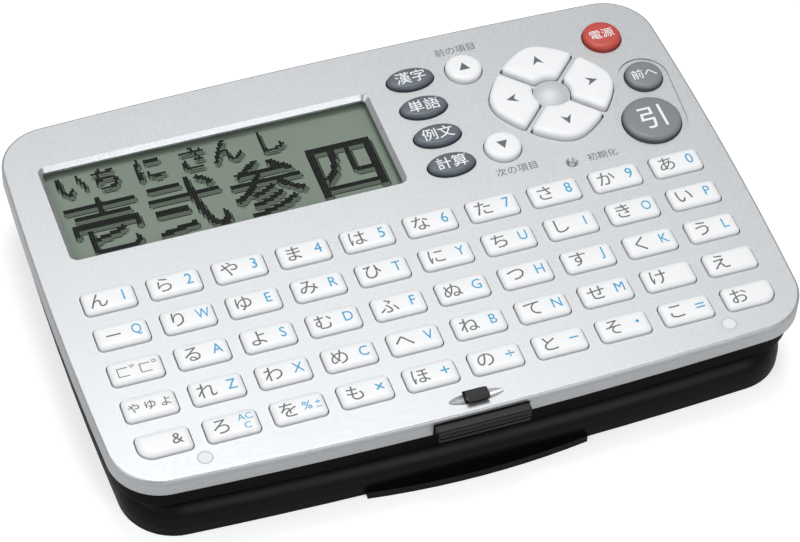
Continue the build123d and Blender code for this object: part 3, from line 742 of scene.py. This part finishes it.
# ---------------------------------------------------------------- outlines of the keys
class Outline:
    """The outline of a key as a distance field: below 0 inside, 0 on the outline, in millimetres."""

    reach: float = 12.0
    halvings: int = 40
    inside: Place = (0.0, 0.0)

    def distance(self, x: np.ndarray, y: np.ndarray) -> np.ndarray:
        """Signed distance from the outline, measured from the key's own centre."""
        raise NotImplementedError

    def rings(self, levels: np.ndarray, angles: np.ndarray) -> np.ndarray:
        """Level lines of the field, found by halving an interval along rays from a point inside.

        Args:
            levels: the distance of each ring from the outline.
            angles: the direction of each ray.

        Returns:
            An array of (levels, angles, 2).
        """
        ray = np.stack([np.cos(angles), np.sin(angles)], axis=-1)
        near = np.zeros((len(levels), len(angles)))
        far = np.full_like(near, self.reach)
        for _ in range(self.halvings):
            middle = (near + far) / 2
            spot = self.inside + middle[..., None] * ray
            within = self.distance(spot[..., 0], spot[..., 1]) < levels[:, None]
            near = np.where(within, middle, near)
            far = np.where(within, far, middle)
        return self.inside + near[..., None] * ray

    def spread(self, count: int) -> np.ndarray:
        """Directions of so many rays."""
        return np.linspace(0, 2 * math.pi, count, endpoint=False)


@dataclass(frozen=True)
class Oblong(Outline):
    """Rectangle whose corners each have their own round: rear right, rear left, front left, front right."""

    half_width: float
    half_depth: float
    corners: tuple[float, float, float, float]

    def distance(self, x: np.ndarray, y: np.ndarray) -> np.ndarray:
        """With q = |p| - half size + radius, the distance is |max(q, 0)| + min(max(q), 0) - radius."""
        rear = np.where(x > 0, self.corners[0], self.corners[1])
        front = np.where(x > 0, self.corners[3], self.corners[2])
        radius = np.where(y > 0, rear, front)
        across = np.abs(x) - self.half_width + radius
        along = np.abs(y) - self.half_depth + radius
        outer = np.hypot(np.maximum(across, 0), np.maximum(along, 0))
        return outer + np.minimum(np.maximum(across, along), 0) - radius

    def spread(self, count: int) -> np.ndarray:
        """Rays closer together towards the corners, from the angles of an ellipse."""
        turn = np.linspace(0, 2 * math.pi, count, endpoint=False)
        return np.arctan2(np.sin(turn) * self.half_depth, np.cos(turn) * self.half_width)


@dataclass(frozen=True)
class Oval(Outline):
    """Ellipse or circle."""

    half_width: float
    half_depth: float

    def distance(self, x: np.ndarray, y: np.ndarray) -> np.ndarray:
        """With k = |p / size| and g = |p / size squared|, the distance is about k (k - 1) / g."""
        scaled = np.hypot(x / self.half_width, y / self.half_depth)
        slope = np.hypot(x / self.half_width**2, y / self.half_depth**2)
        return scaled * (scaled - 1) / np.maximum(slope, 1e-9)


@dataclass(frozen=True)
class Quarter(Outline):
    """A quarter of the cushion-shaped group of arrow keys, the one towards the rear before it is turned."""

    turn: float
    middle_out: float = 7.0
    gap: float = 0.95
    inner_radius: float = 3.25
    tip: float = 11.3
    bulge: float = 9.65
    tip_round: float = 5.0
    corner: float = 0.85

    @property
    def inside(self) -> Place:
        """A point inside, straight out from the centre of the group."""
        return -self.middle_out * math.sin(self.turn), self.middle_out * math.cos(self.turn)

    def rounded(self, first: np.ndarray, second: np.ndarray) -> np.ndarray:
        """Intersection of two fields with a round corner: min(-r, max(a, b)) + |max((a, b) + r, 0)|."""
        both = np.hypot(np.maximum(first + self.corner, 0), np.maximum(second + self.corner, 0))
        return np.minimum(-self.corner, np.maximum(first, second)) + both

    def distance(self, x: np.ndarray, y: np.ndarray) -> np.ndarray:
        """Inside two slanting lines, outside the inner circle, and inside the cushion.

        The cushion is four circles through its tips and the middles of its sides, whose centres lie on the
        diagonals at c = (tip^2 - 2 m^2) / (2 tip - 4 m) with m the bulge over the root of 2. A smaller
        circle rounds each tip.
        """
        side = np.abs(x * math.cos(self.turn) + y * math.sin(self.turn))
        out = -x * math.sin(self.turn) + y * math.cos(self.turn)
        middle = self.bulge / math.sqrt(2)
        centre = (self.tip**2 - 2 * middle**2) / (2 * self.tip - 4 * middle)
        radius = math.hypot(self.tip - centre, centre)
        tip_centre = centre + math.sqrt((radius - self.tip_round) ** 2 - centre**2)
        slope = -centre / (tip_centre - centre)
        on_tip = side < (out - tip_centre) * slope
        cushion = np.where(
            on_tip,
            np.hypot(side, out - tip_centre) - self.tip_round,
            np.hypot(side - centre, out - centre) - radius,
        )
        lines = (side - out) / math.sqrt(2) + self.gap / 2
        hole = self.inner_radius - np.hypot(x, y)
        return self.rounded(self.rounded(lines, hole), cushion)


@dataclass
class Cap:
    """A key cap: a foot under the plate, a straight wall, and a round shoulder up to a flat top."""

    outline: Outline
    place: Place
    top: float
    shoulder: float
    drop: float
    foot: float = 0.35
    slack: float = 0.03
    foot_bottom: float = 12.7
    foot_top: float = 13.2
    rays: int = 96
    steps: int = 7

    def height(self, x: np.ndarray, y: np.ndarray) -> np.ndarray:
        """Height of the cap over a point: a quarter of an ellipse over the shoulder, then level.

        With t the depth inside the outline over the shoulder's width, z = top - drop (1 - sqrt(t (2 - t))).
        """
        depth = -self.slack - self.outline.distance(x - self.place[0], y - self.place[1])
        inside = np.clip(depth / self.shoulder, 0, 1)
        return self.top - self.drop * (1 - np.sqrt(inside * (2 - inside)))

    def skin(self) -> Skin:
        """Rings of the outline's level lines, from the foot up the wall and over the shoulder."""
        turn = np.linspace(0, math.pi / 2, self.steps)
        depth = self.shoulder * (1 - np.cos(turn))
        fall = self.drop * (1 - np.sin(turn))
        levels = np.concatenate([[self.foot, self.foot, -self.slack], -self.slack - depth])
        heights = np.concatenate([[self.foot_bottom, self.foot_top, self.foot_top], self.top - fall])
        flat = self.outline.rings(levels, self.outline.spread(self.rays)) + np.array(self.place)
        tall = np.broadcast_to(heights[:, None, None], (*flat.shape[:2], 1))
        return lofted(np.concatenate([flat, tall], axis=-1))


# ---------------------------------------------------------------- lettering
@dataclass(frozen=True)
class Legend:
    """One printed word or sign: what it says, where its middle is, its size and its ink.

    The weight thickens its strokes, and the breadth narrows its letters to a share of their own width.
    """

    text: str
    place: Place
    size: float
    ink: Ink
    weight: float = 0.0
    breadth: float = 1.0

    def moved(self, by: Place) -> "Legend":
        """The same legend somewhere else."""
        return replace(self, place=(self.place[0] + by[0], self.place[1] + by[1]))


class Lettering:
    """Sets plain type and turns it into thin closed shapes that lie on a surface."""

    lift = 0.012
    sink = 0.02
    curve_steps = 3
    merge_within = 1e-4
    shortest_edge = 1e-5

    def __init__(self) -> None:
        """Starts with no type set."""
        self.cut: dict[tuple[str, float], Skin] = {}

    def type_of(self, text: str, weight: float) -> Skin:
        """A word at a size of 1, centred, as a closed slab from Z = -1 to 1.

        Args:
            text: the word.
            weight: how far the strokes are thickened on each side, as a share of the size.

        Returns:
            Its skin, set once and kept.
        """
        if (text, weight) not in self.cut:
            curve = bpy.data.curves.new("type", "FONT")
            curve.body = text
            curve.extrude = 0.05
            curve.bevel_depth = weight
            curve.bevel_resolution = 0
            curve.resolution_u = self.curve_steps
            holder = put_in_scene("type", curve)
            bpy.context.view_layer.update()
            mesh = bpy.data.meshes.new_from_object(holder)
            self.cut[text, weight] = self.read(mesh)
            bpy.data.objects.remove(holder)
            bpy.data.curves.remove(curve)
            bpy.data.meshes.remove(mesh)
        return self.cut[text, weight]

    def read(self, mesh: bpy.types.Mesh) -> Skin:
        """Closes the seams of a word's mesh, centres it and takes its heights to -1 and 1."""
        editable = bmesh.new()
        editable.from_mesh(mesh)
        bmesh.ops.remove_doubles(editable, verts=editable.verts, dist=self.merge_within)
        bmesh.ops.dissolve_degenerate(editable, dist=self.shortest_edge, edges=editable.edges)
        bmesh.ops.recalc_face_normals(editable, faces=editable.faces)
        editable.to_mesh(mesh)
        editable.free()
        points = np.zeros(len(mesh.vertices) * 3, np.float32)
        mesh.vertices.foreach_get("co", points)
        points = points.reshape(-1, 3).astype(float)
        points[:, :2] -= (points[:, :2].min(0) + points[:, :2].max(0)) / 2
        points[:, 2] = np.sign(points[:, 2])
        return Skin(points, [list(face.vertices) for face in mesh.polygons])

    def printed(self, legend: Legend, surface: Surface) -> Skin:
        """A legend laid on a surface: its upper side just above it, its lower side just inside it."""
        plain = self.type_of(legend.text, legend.weight)
        flat = plain.points[:, :2] * legend.size * (legend.breadth, 1.0) + legend.place
        level = surface(flat[:, 0], flat[:, 1])
        offset = np.where(plain.points[:, 2] > 0, self.lift, -self.sink)
        return Skin(np.column_stack([flat, level + offset]), plain.faces)

    def triangles(self, text: str, weight: float) -> np.ndarray:
        """The upper side of a word at a size of 1, as an array of (triangles, 3, 2)."""
        plain = self.type_of(text, weight)
        found = []
        for face in plain.faces:
            corners = plain.points[list(face)]
            if corners[:, 2].min() > 0:
                found += [corners[[0, n, n + 1], :2] for n in range(1, len(face) - 1)]
        return np.array(found)


LETTERING = Lettering()


def print_legends(name: str, legends: Sequence[Legend], surface: Surface, body: str) -> None:
    """Prints legends on a surface, one piece for each ink."""
    for ink in Ink:
        chosen = [LETTERING.printed(legend, surface) for legend in legends if legend.ink is ink]
        if chosen:
            make_piece(f"{name}_{ink.name.lower()}", joined(chosen), ink, body)


def flat_mark(corners: Sequence[Place], turn: float, place: Place, top: float) -> Skin:
    """A printed shape with straight sides, turned and then placed, as thick as a legend."""
    outline = turned(np.array(corners), turn) + place
    return prism(outline, top - LETTERING.sink, top + LETTERING.lift)


# ---------------------------------------------------------------- sub-assemblies
OTHER_LEGENDS: dict[tuple[int, int], tuple[Legend, ...]] = {
    (1, 2): (Legend("ー", (-1.4, 0.0), 2.9, Ink.DARK),),
    (1, 3): (
        Legend("匚", (-2.1, -0.2), 2.3, Ink.DARK),
        Legend("゛", (-0.5, 0.7), 3.0, Ink.DARK),
        Legend("匚", (1.5, -0.2), 2.3, Ink.DARK),
        Legend("゜", (3.0, 0.7), 3.0, Ink.DARK),
    ),
    (1, 4): (Legend("ゃゅょ", (-0.1, 0.0), 2.5, Ink.DARK),),
    (1, 5): (Legend("&", (2.1, 0.0), 2.9, Ink.DARK),),
    (2, 5): (Legend("AC", (2.3, 0.85), 1.75, Ink.BLUE), Legend("C", (2.3, -0.85), 1.75, Ink.BLUE)),
    (3, 5): (
        Legend("%", (1.3, 0.0), 2.3, Ink.BLUE, 0.004),
        Legend("+", (3.05, 0.2), 1.75, Ink.BLUE, 0.006),
        Legend("−", (3.05, -0.75), 1.75, Ink.BLUE, 0.006),
    ),
    (8, 5): (Legend("•", (2.35, 0.1), 2.3, Ink.BLUE),),
}
"""Legends of the keys that carry more or other than one kana and one sign, by column and row."""


@dataclass
class LetterKeys:
    """Fifty letter keys in five rows of ten, two to a CAD node, with a kana and a sign on each."""

    columns: int = 10
    rows: int = 5
    column_pitch: float = 10.7
    row_pitch: float = 7.4
    first_row: float = -0.97
    width: float = 8.45
    depth: float = 4.6
    top: float = 15.2
    corner: float = 0.9
    large_corner: float = 2.3
    shoulder: float = 1.0
    drop: float = 0.5
    kana_place: Place = (-1.7, 0.0)
    kana_size: float = 3.3
    kana_weight: float = 0.001
    sign_place: Place = (2.35, 0.1)
    sign_weight: float = 0.002
    sign_breadth: float = 0.87
    wide_signs: str = "QWO"
    wide_breadth: float = 0.77
    letter_size: float = 2.75
    digit_size: float = 3.0
    mark_size: float = 3.1
    blank: str = "_"
    kana: tuple[str, ...] = (
        "んらやまはなたさかあ",
        "_りゆみひにちしきい",
        "_るよむふぬつすくう",
        "_れわめへねてせけえ",
        "_ろをもほのとそこお",
    )
    signs: tuple[str, ...] = ("1234567890", "QWERTYUIOP", "_ASDFGHJKL", "_ZXCVBNM__", "___×+÷−_=_")

    def place(self, column: int, row: int) -> Place:
        """Centre of a key, counted from the rear left."""
        x = (column - (self.columns + 1) / 2) * self.column_pitch
        return x, self.first_row - (row - 1) * self.row_pitch

    def cap(self, column: int, row: int) -> Cap:
        """The cap of one key, with a large round on the outer corner of the two front corner keys."""
        at_front = row == self.rows
        left = self.large_corner if at_front and column == 1 else self.corner
        right = self.large_corner if at_front and column == self.columns else self.corner
        outline = Oblong(self.width / 2, self.depth / 2, (self.corner, self.corner, left, right))
        return Cap(outline, self.place(column, row), self.top, self.shoulder, self.drop)

    def sign(self, sign: str) -> Legend:
        """The blue sign of a key: a digit, a letter or an arithmetic sign, each with its own size."""
        if not sign.isalnum():
            return Legend(sign, self.sign_place, self.mark_size, Ink.BLUE, self.sign_weight)
        size = self.digit_size if sign.isdigit() else self.letter_size
        breadth = self.wide_breadth if sign in self.wide_signs else self.sign_breadth
        return Legend(sign, self.sign_place, size, Ink.BLUE, self.sign_weight, breadth)

    def legends(self, column: int, row: int) -> list[Legend]:
        """What is printed on one key."""
        kana = self.kana[row - 1][column - 1]
        sign = self.signs[row - 1][column - 1]
        found = []
        if kana != self.blank:
            found.append(Legend(kana, self.kana_place, self.kana_size, Ink.DARK, self.kana_weight))
        if sign != self.blank:
            found.append(self.sign(sign))
        found += OTHER_LEGENDS.get((column, row), ())
        return [legend.moved(self.place(column, row)) for legend in found]

    def build(self) -> None:
        """Makes the caps and their legends, pair by pair."""
        for row in range(1, self.rows + 1):
            for first in range(1, self.columns, 2):
                pair = (first, first + 1)
                label = f"row_{row}_columns_{first}_{first + 1}"
                node = f"letter_keys_{label}"
                caps = [self.cap(column, row) for column in pair]
                skin = joined([cap.skin() for cap in caps])
                make_piece(f"caps_{label}", skin, Material.WHITE_KEY, node, [node])
                skins: dict[Ink, list[Skin]] = {}
                for cap, column in zip(caps, pair):
                    for legend in self.legends(column, row):
                        skins.setdefault(legend.ink, []).append(LETTERING.printed(legend, cap.height))
                for ink, chosen in skins.items():
                    make_piece(f"legends_{label}_{ink.name.lower()}", joined(chosen), ink, node)


@dataclass(frozen=True)
class LoneKey:
    """A key that isn't in the rows: where it is, how far it rises, its looks, and its word if it has one."""

    node: str
    outline: Outline
    place: Place
    rise: float
    finish: Material
    slot: str
    word: Legend | None = None


@dataclass
class FunctionKeys:
    """The oval, round, power, back and lookup keys, with plain signs on them."""

    words: tuple[str, ...] = ("漢字", "単語", "例文", "計算")
    first_oval: Place = (13.0, 30.0)
    oval_pitch: float = 6.7
    oval: Oval = Oval(4.1, 2.4)
    oval_rise: float = 0.85
    word_size: float = 2.75
    word_weight: float = 0.005
    word_shift: Place = (0.05, 0.1)
    step_x: float = 22.35
    step_keys: tuple[tuple[str, float, float], ...] = (
        ("previous_key", 29.6, 0.0),
        ("next_key", 11.0, math.pi),
    )
    step_rise: float = 1.0
    step_round: Oval = Oval(3.1, 3.1)
    pointer: tuple[Place, ...] = ((-0.95, -0.75), (0.95, -0.75), (0.0, 0.95))
    shoulder: float = 0.8
    most_drop: float = 0.55
    drop_share: float = 0.75
    right_keys: tuple[LoneKey, ...] = (
        LoneKey("power_key", Oval(3.3, 3.3), (47.4, 29.7), 1.0, Material.RED_KEY, "key_red",
                Legend("電源", (0.0, 0.15), 2.2, Ink.WHITE, 0.002)),
        LoneKey("back_key", Oval(3.2, 3.2), (50.8, 19.2), 0.75, Material.GREY_KEY, "key_grey",
                Legend("前へ", (0.0, 0.1), 2.3, Ink.WHITE, 0.004)),
        LoneKey("lookup_key", Oval(4.95, 4.95), (48.25, 9.4), 0.8, Material.GREY_KEY, "key_grey",
                Legend("引", (0.0, 0.1), 5.3, Ink.WHITE, 0.006)),
    )

    def mode_keys(self) -> list[LoneKey]:
        """The four oval keys, from the rear."""
        x, y = self.first_oval
        return [
            LoneKey(
                f"mode_key_{number + 1}", self.oval, (x, y - number * self.oval_pitch), self.oval_rise,
                Material.SLATE_KEY, "key_slate",
                Legend(word, self.word_shift, self.word_size, Ink.WHITE, self.word_weight),
            )
            for number, word in enumerate(self.words)
        ]

    def make(self, key: LoneKey) -> Cap:
        """Makes a key's cap in place of its CAD node, which also carries it, and prints its word."""
        drop = min(self.most_drop, self.drop_share * key.rise)
        cap = Cap(key.outline, key.place, FACE_HEIGHT + key.rise, self.shoulder, drop)
        make_piece(f"{key.node}_cap", cap.skin(), key.finish, key.node, [key.node])
        if key.word:
            word = key.word.moved(key.place)
            print_legends(f"{key.node}_legend", [word], cap.height, key.node)
        return cap

    def build(self) -> None:
        """Makes every key and its sign."""
        for key in self.mode_keys():
            self.make(key)
        for node, y, turn in self.step_keys:
            place = (self.step_x, y)
            key = LoneKey(node, self.step_round, place, self.step_rise, Material.WHITE_KEY, "key_white")
            sign = flat_mark(self.pointer, turn, place, self.make(key).top)
            make_piece(f"{node}_sign", sign, Ink.GREY, node)
        for key in self.right_keys:
            self.make(key)


@dataclass
class ArrowKeys:
    """Four arrow keys round the silver dome, each with a swallow-tailed arrow."""

    top: float = 15.65
    shoulder: float = 0.8
    drop: float = 0.62
    foot: float = 0.15
    rays: int = 160
    slot: str = "key_pearl"
    arrow: tuple[Place, ...] = ((0.0, 8.15), (-0.95, 6.15), (0.0, 6.8), (0.95, 6.15))

    def build(self) -> None:
        """Makes the keys, each a quarter turn on from the last."""
        for number, direction in enumerate(("up", "left", "down", "right")):
            turn = number * math.pi / 2
            node = f"arrow_key_{direction}"
            outline = Quarter(turn)
            cap = Cap(outline, ARROWS_CENTRE, self.top, self.shoulder, self.drop, self.foot, rays=self.rays)
            make_piece(f"{node}_cap", cap.skin(), Material.PEARL_KEY, node, [node])
            sign = flat_mark(self.arrow, turn, ARROWS_CENTRE, self.top)
            make_piece(f"{node}_sign", sign, Ink.GREY, node)


@dataclass(frozen=True)
class DotText:
    """A word drawn in dots: its thickening, its type size, and the dots of the display that it fills."""

    text: str
    weight: float
    size: float
    widest: float
    rows: tuple[int, int]
    columns: tuple[int, int]

    def dots(self) -> np.ndarray:
        """Which dots are dark, as (rows, columns): those whose middle lies in one of the word's triangles."""
        rows = self.rows[1] - self.rows[0]
        columns = self.columns[1] - self.columns[0]
        corners = LETTERING.triangles(self.text, self.weight) * self.size
        corners = corners * (min(1.0, self.widest / np.ptp(corners[..., 0])), 1.0)
        x = np.arange(columns) - (columns - 1) / 2
        y = (rows - 1) / 2 - np.arange(rows)
        spot = np.stack(np.meshgrid(x, y), axis=-1).reshape(-1, 1, 2)
        edge = np.roll(corners, -1, axis=1) - corners
        away = spot[:, :, None] - corners[None]
        side = edge[None, ..., 0] * away[..., 1] - edge[None, ..., 1] * away[..., 0]
        inside = (side >= 0).all(-1) | (side <= 0).all(-1)
        return inside.any(-1).reshape(rows, columns)


@dataclass
class Screen:
    """The display's dots: a line of small kana over four large numerals, with their soft shadow."""

    centre: Place = (-23.15, 19.4)
    columns: int = 128
    rows: int = 44
    dot: float = 0.40
    shadow_edge_width: float = 0.8
    panel_top: float = 12.45
    sink: float = 0.01
    shadow_shift: Place = (0.12, -0.8)
    small_line: DotText = DotText("いち に さん し", 0.012, 13.5, 92.0, (0, 13), (2, 94))
    numerals: str = "壱弐参四"
    numeral_width: int = 32

    def lit(self) -> np.ndarray:
        """Which dots are dark, as an array of (rows, columns) with the rear row first."""
        field = np.zeros((self.rows, self.columns), bool)
        starts = range(0, self.columns, self.numeral_width)
        large = [
            DotText(sign, 0.004, 31.0, 31.0, (14, self.rows), (start, start + self.numeral_width))
            for sign, start in zip(self.numerals, starts)
        ]
        for word in (self.small_line, *large):
            field[slice(*word.rows), slice(*word.columns)] = word.dots()
        return field

    def dots(self, field: np.ndarray, width: float, shift: Place, low: float, high: float) -> Skin:
        """A thin box for each dark dot, from one height to another."""
        row, column = np.nonzero(field)
        x = self.centre[0] + (column - (self.columns - 1) / 2) * DOT_PITCH + shift[0]
        y = self.centre[1] + ((self.rows - 1) / 2 - row) * DOT_PITCH + shift[1]
        middle = np.column_stack([x, y])
        bottom = np.column_stack([middle - width / 2, np.full(len(x), low)])
        top = np.column_stack([middle + width / 2, np.full(len(x), high)])
        return boxes(bottom, top)

    def build(self) -> None:
        """Makes the dots, their painted shadow and the paler edge of the shadow, each lower than the last."""
        field = self.lit()
        layers = (
            ("display_dots", Ink.DOT, self.dot, (0.0, 0.0), 0.035),
            ("display_dot_shadow", Ink.DOT_SHADOW, self.dot, self.shadow_shift, 0.02),
            ("display_dot_shadow_edge", Ink.DOT_SHADOW_EDGE, self.shadow_edge_width, self.shadow_shift, 0.01),
        )
        for name, ink, width, shift, lift in layers:
            skin = self.dots(field, width, shift, self.panel_top - self.sink, self.panel_top + lift)
            make_piece(name, skin, ink, "case")


@dataclass
class FaceLabels:
    """Words printed on the silver face beside the round keys and the reset button."""

    legends: tuple[Legend, ...] = (
        Legend("前の項目", (22.6, 34.6), 1.85, Ink.GREY),
        Legend("次の項目", (22.9, 6.0), 1.85, Ink.GREY),
        Legend("初期化", (37.5, 4.75), 1.75, Ink.GREY),
    )

    def face(self, x: np.ndarray, y: np.ndarray) -> np.ndarray:
        """Height of the flat face under any point."""
        return np.full_like(x, FACE_HEIGHT)

    def build(self) -> None:
        """Prints the words."""
        print_legends("face_label", self.legends, self.face, "case")


@dataclass
class CaseBack:
    """Ribs and an arrow on the battery door, which show when the cover is open."""

    first_rib: Place = (-29.0, 9.5)
    rib_length: float = 10.0
    rib_width: float = 0.4
    rib_count: int = 7
    rib_pitch: float = 0.9
    arrow: tuple[Place, ...] = ((-25.6, 18.2), (-22.4, 18.2), (-24.0, 20.8))
    bottom: float = 5.9
    rise: float = 0.12
    root: float = 0.03

    def build(self) -> None:
        """Makes the ribs as thin bars, and the arrow that points the way the door opens."""
        low = np.tile((*self.first_rib, self.bottom - self.rise), (self.rib_count, 1))
        low[:, 1] += np.arange(self.rib_count) * self.rib_pitch
        ribs = boxes(low, low + (self.rib_length, self.rib_width, self.rise + self.root))
        mark = prism(np.array(self.arrow), self.bottom - self.rise, self.bottom + self.root)
        make_piece("door_ribs", joined([ribs, mark]), Material.CASE_BLACK, "case")


@dataclass
class ReleaseSprings:
    """The two coil springs behind the release slider."""

    across: float = 4.2
    height: float = 12.75
    front: float = -36.545
    length: float = 1.69
    seat: float = -34.7
    radius: float = 0.475
    wire_radius: float = 0.125
    turns: int = 4
    steps: int = 24
    sides: int = 10
    pushed_share: float = 0.54

    def coil(self, x: float) -> Skin:
        """One spring as a tube of circles along a helix.

        At the angle t the middle of the wire is (x + r cos t, front + c t, height + r sin t), with c the
        length over 2 pi turns. Each circle lies across the tangent, which is the derivative of that point.

        Args:
            x: where the spring's axis lies.

        Returns:
            The closed tube.
        """
        turn = np.linspace(0, 2 * math.pi * self.turns, self.steps * self.turns + 1)
        around = np.linspace(0, 2 * math.pi, self.sides, endpoint=False)
        zero = np.zeros_like(turn)
        rise = self.length / (2 * math.pi * self.turns)
        outward = np.stack([np.cos(turn), zero, np.sin(turn)], axis=-1)
        along = np.stack([-self.radius * np.sin(turn), zero + rise, self.radius * np.cos(turn)], axis=-1)
        along /= np.linalg.norm(along, axis=-1, keepdims=True)
        sideways = np.cross(along, outward)
        axis = np.stack([zero + x, self.front + rise * turn, zero + self.height], axis=-1)
        circle = np.cos(around)[:, None] * outward[:, None] + np.sin(around)[:, None] * sideways[:, None]
        return lofted((axis + self.radius * outward)[:, None] + self.wire_radius * circle)

    def build(self) -> None:
        """Makes both springs."""
        skin = joined([self.coil(-self.across), self.coil(self.across)])
        name = "release_spring_coils"
        piece = make_piece(name, skin, Material.STEEL, "case", ["release_springs"])
        seat = (0, self.seat * MM, self.height * MM)
        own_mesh(piece)


FRAME_FINISHES = {
    "face_panel": Material.SILVER,
    "bottom_case": Material.CASE_BLACK,
    "rubber_feet": Material.RUBBER,
    "battery_door": Material.CASE_BLACK,
    "coin_cells": Material.NICKEL,
    "battery_contacts": Material.BRASS,
    "main_board": Material.BOARD,
    "board_chips": Material.CHIP_BLACK,
    "contact_mat": Material.MAT_RUBBER,
    "display_window": Material.WINDOW,
    "display_panel": Material.CELL,
    "display_frame": Material.FRAME_BLACK,
    "display_connector": Material.STRIPED_RUBBER,
    "release_slider": Material.SLIDER_BLACK,
    "reset_button": Material.RESET_GREY,
    "case_screws": Material.STEEL,
    "screw_plugs": Material.PLUG,
    "cover": Material.COVER_BLACK,
    "hinge_links": Material.SLIDER_BLACK,
    "case_hinge_pins": Material.STEEL,
    "cover_hinge_pins": Material.STEEL,
}
"""Finish of every CAD node that isn't replaced by a piece made here."""


@dataclass
class Frame:
    """The CAD pieces that stay, each with its finish."""

    def build(self) -> None:
        """Gives every CAD node that stays its material."""
        for name, finish in FRAME_FINISHES.items():
            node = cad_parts[name]
            material = PALETTE.of(finish)
            if node.material_slots:
                for slot in node.material_slots:
                    slot.material = material
            else:
                node.data.materials.append(material)
        LOG.info("finished %d CAD pieces", len(FRAME_FINISHES))


# ---------------------------------------------------------------- studio
@dataclass(frozen=True)
class SoftBox:
    """A square area lamp aimed at the object."""

    name: str
    place: Triple
    size: float
    power: float
    tint: Colour = (1.0, 1.0, 1.0)
    target: Triple = (0.0, 0.0, 0.01)

    def build(self) -> None:
        """Makes the lamp."""
        lamp = bpy.data.lights.new(self.name, "AREA")
        lamp.shape = "SQUARE"
        lamp.size = self.size
        lamp.energy = self.power
        lamp.color = self.tint
        aim = Vector(self.place) - Vector(self.target)
        turn = aim.to_track_quat("Z", "Y").to_matrix().to_4x4()
        put_in_scene(self.name, lamp).matrix_world = Matrix.Translation(self.place) @ turn


@dataclass(frozen=True)
class Studio:
    """White table, soft lamps, an even surround and the camera at the photograph's angle."""

    camera_place: Triple = (-0.12802, -0.31423, 0.39705)
    azimuth: float = -22.3253
    elevation: float = 49.2165
    roll: float = 3.5481
    lens: float = 143.61
    sensor_width: float = 36.0
    nearest: float = 0.01
    surround: float = 0.42
    surround_tint: Colour = (0.97, 0.985, 1.0)
    backdrop: float = 1.06
    table_size: float = 6.0
    near_glow: float = 0.5
    glow_start: float = 0.25
    glow_full: float = 0.9
    softboxes: tuple[SoftBox, ...] = (
        SoftBox("rear_softbox", (0.12, 0.42, 1.05), 0.5, 4.8),
        SoftBox("left_softbox", (-0.70, -0.10, 0.75), 0.6, 2.4),
        SoftBox("front_softbox", (0.24, -0.76, 0.62), 0.5, 2.2, (0.97, 0.985, 1.0)),
    )

    def build(self) -> None:
        """Makes the whole studio."""
        self.make_table()
        self.make_surround()
        for softbox in self.softboxes:
            softbox.build()
        self.make_camera()

    def make_table(self) -> None:
        """A large white sheet at Z = 0 that keeps the object's shadow and glows to the camera further off."""
        recipe = Recipe("table_paper")
        seen = recipe.signal(recipe.node("ShaderNodeLightPath"), "Is Camera Ray")
        x, y, _ = recipe.axes()
        far = (x.length_with(y) * MM - self.glow_start) / (self.glow_full - self.glow_start)
        shade = recipe.mixed(far, (self.near_glow,) * 3, (1.0, 1.0, 1.0))
        glow = recipe.mixed(seen, (0.0, 0.0, 0.0), shade)
        fibres = recipe.noise(0.6, 3.0)
        paper = recipe.mixed(fibres, (0.80, 0.80, 0.80), (0.82, 0.82, 0.82))
        recipe.surface(
            paper, Roughness=0.9, Emission_Color=glow, Emission_Strength=1.0, Specular_IOR_Level=0.1
        )
        half = self.table_size / 2
        corners = [(-half, -half, 0), (half, -half, 0), (half, half, 0), (-half, half, 0)]
        mesh = bpy.data.meshes.new("table")
        mesh.from_pydata(corners, [], [(0, 1, 2, 3)])
        mesh.materials.append(recipe.material)
        put_in_scene("table", mesh)

    def make_surround(self) -> None:
        """Even light from all round, seen as white by the camera."""
        world = bpy.data.worlds.new("surround")
        world.use_nodes = True
        bpy.context.scene.world = world
        tree = world.node_tree
        tree.nodes.clear()
        path = tree.nodes.new("ShaderNodeLightPath")
        strength = tree.nodes.new("ShaderNodeMix")
        strength.inputs[2].default_value = self.surround
        strength.inputs[3].default_value = self.backdrop
        light = tree.nodes.new("ShaderNodeBackground")
        light.inputs["Color"].default_value = (*self.surround_tint, 1.0)
        output = tree.nodes.new("ShaderNodeOutputWorld")
        tree.links.new(path.outputs["Is Camera Ray"], strength.inputs[0])
        tree.links.new(strength.outputs[0], light.inputs["Strength"])
        tree.links.new(light.outputs[0], output.inputs["Surface"])

    def make_camera(self) -> None:
        """The camera, from its place and three angles.

        With a the azimuth and e the elevation, the direction back to the camera is
        (sin a cos e, -cos a cos e, sin e). The roll turns its right and down axes about that direction.
        """
        azimuth = math.radians(self.azimuth)
        elevation = math.radians(self.elevation)
        roll = math.radians(self.roll)
        flat = math.cos(elevation)
        back = Vector((math.sin(azimuth) * flat, -math.cos(azimuth) * flat, math.sin(elevation)))
        right = (-back).cross(Vector((0.0, 0.0, 1.0))).normalized()
        down = (-back).cross(right)
        rolled_right = math.cos(roll) * right - math.sin(roll) * down
        rolled_down = math.sin(roll) * right + math.cos(roll) * down
        data = bpy.data.cameras.new("camera")
        data.lens = self.lens
        data.sensor_width = self.sensor_width
        data.clip_start = self.nearest
        turn = Matrix((rolled_right, -rolled_down, back)).transposed()
        camera = put_in_scene("camera", data)
        camera.matrix_world = Matrix.Translation(self.camera_place) @ turn.to_4x4()
        bpy.context.scene.camera = camera


def main() -> None:
    """Builds the dictionary's looks in order."""
    logging.basicConfig(level=logging.INFO, format="%(message)s")
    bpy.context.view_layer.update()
    key_groups = (LetterKeys, FunctionKeys, ArrowKeys)
    for maker in (Frame, *key_groups, Screen, FaceLabels, CaseBack, ReleaseSprings, Studio):
        LOG.info("building %s", maker.__name__)
        maker().build()
    bpy.context.scene.view_settings.view_transform = "Standard"


if __name__ == "__main__":
    main()
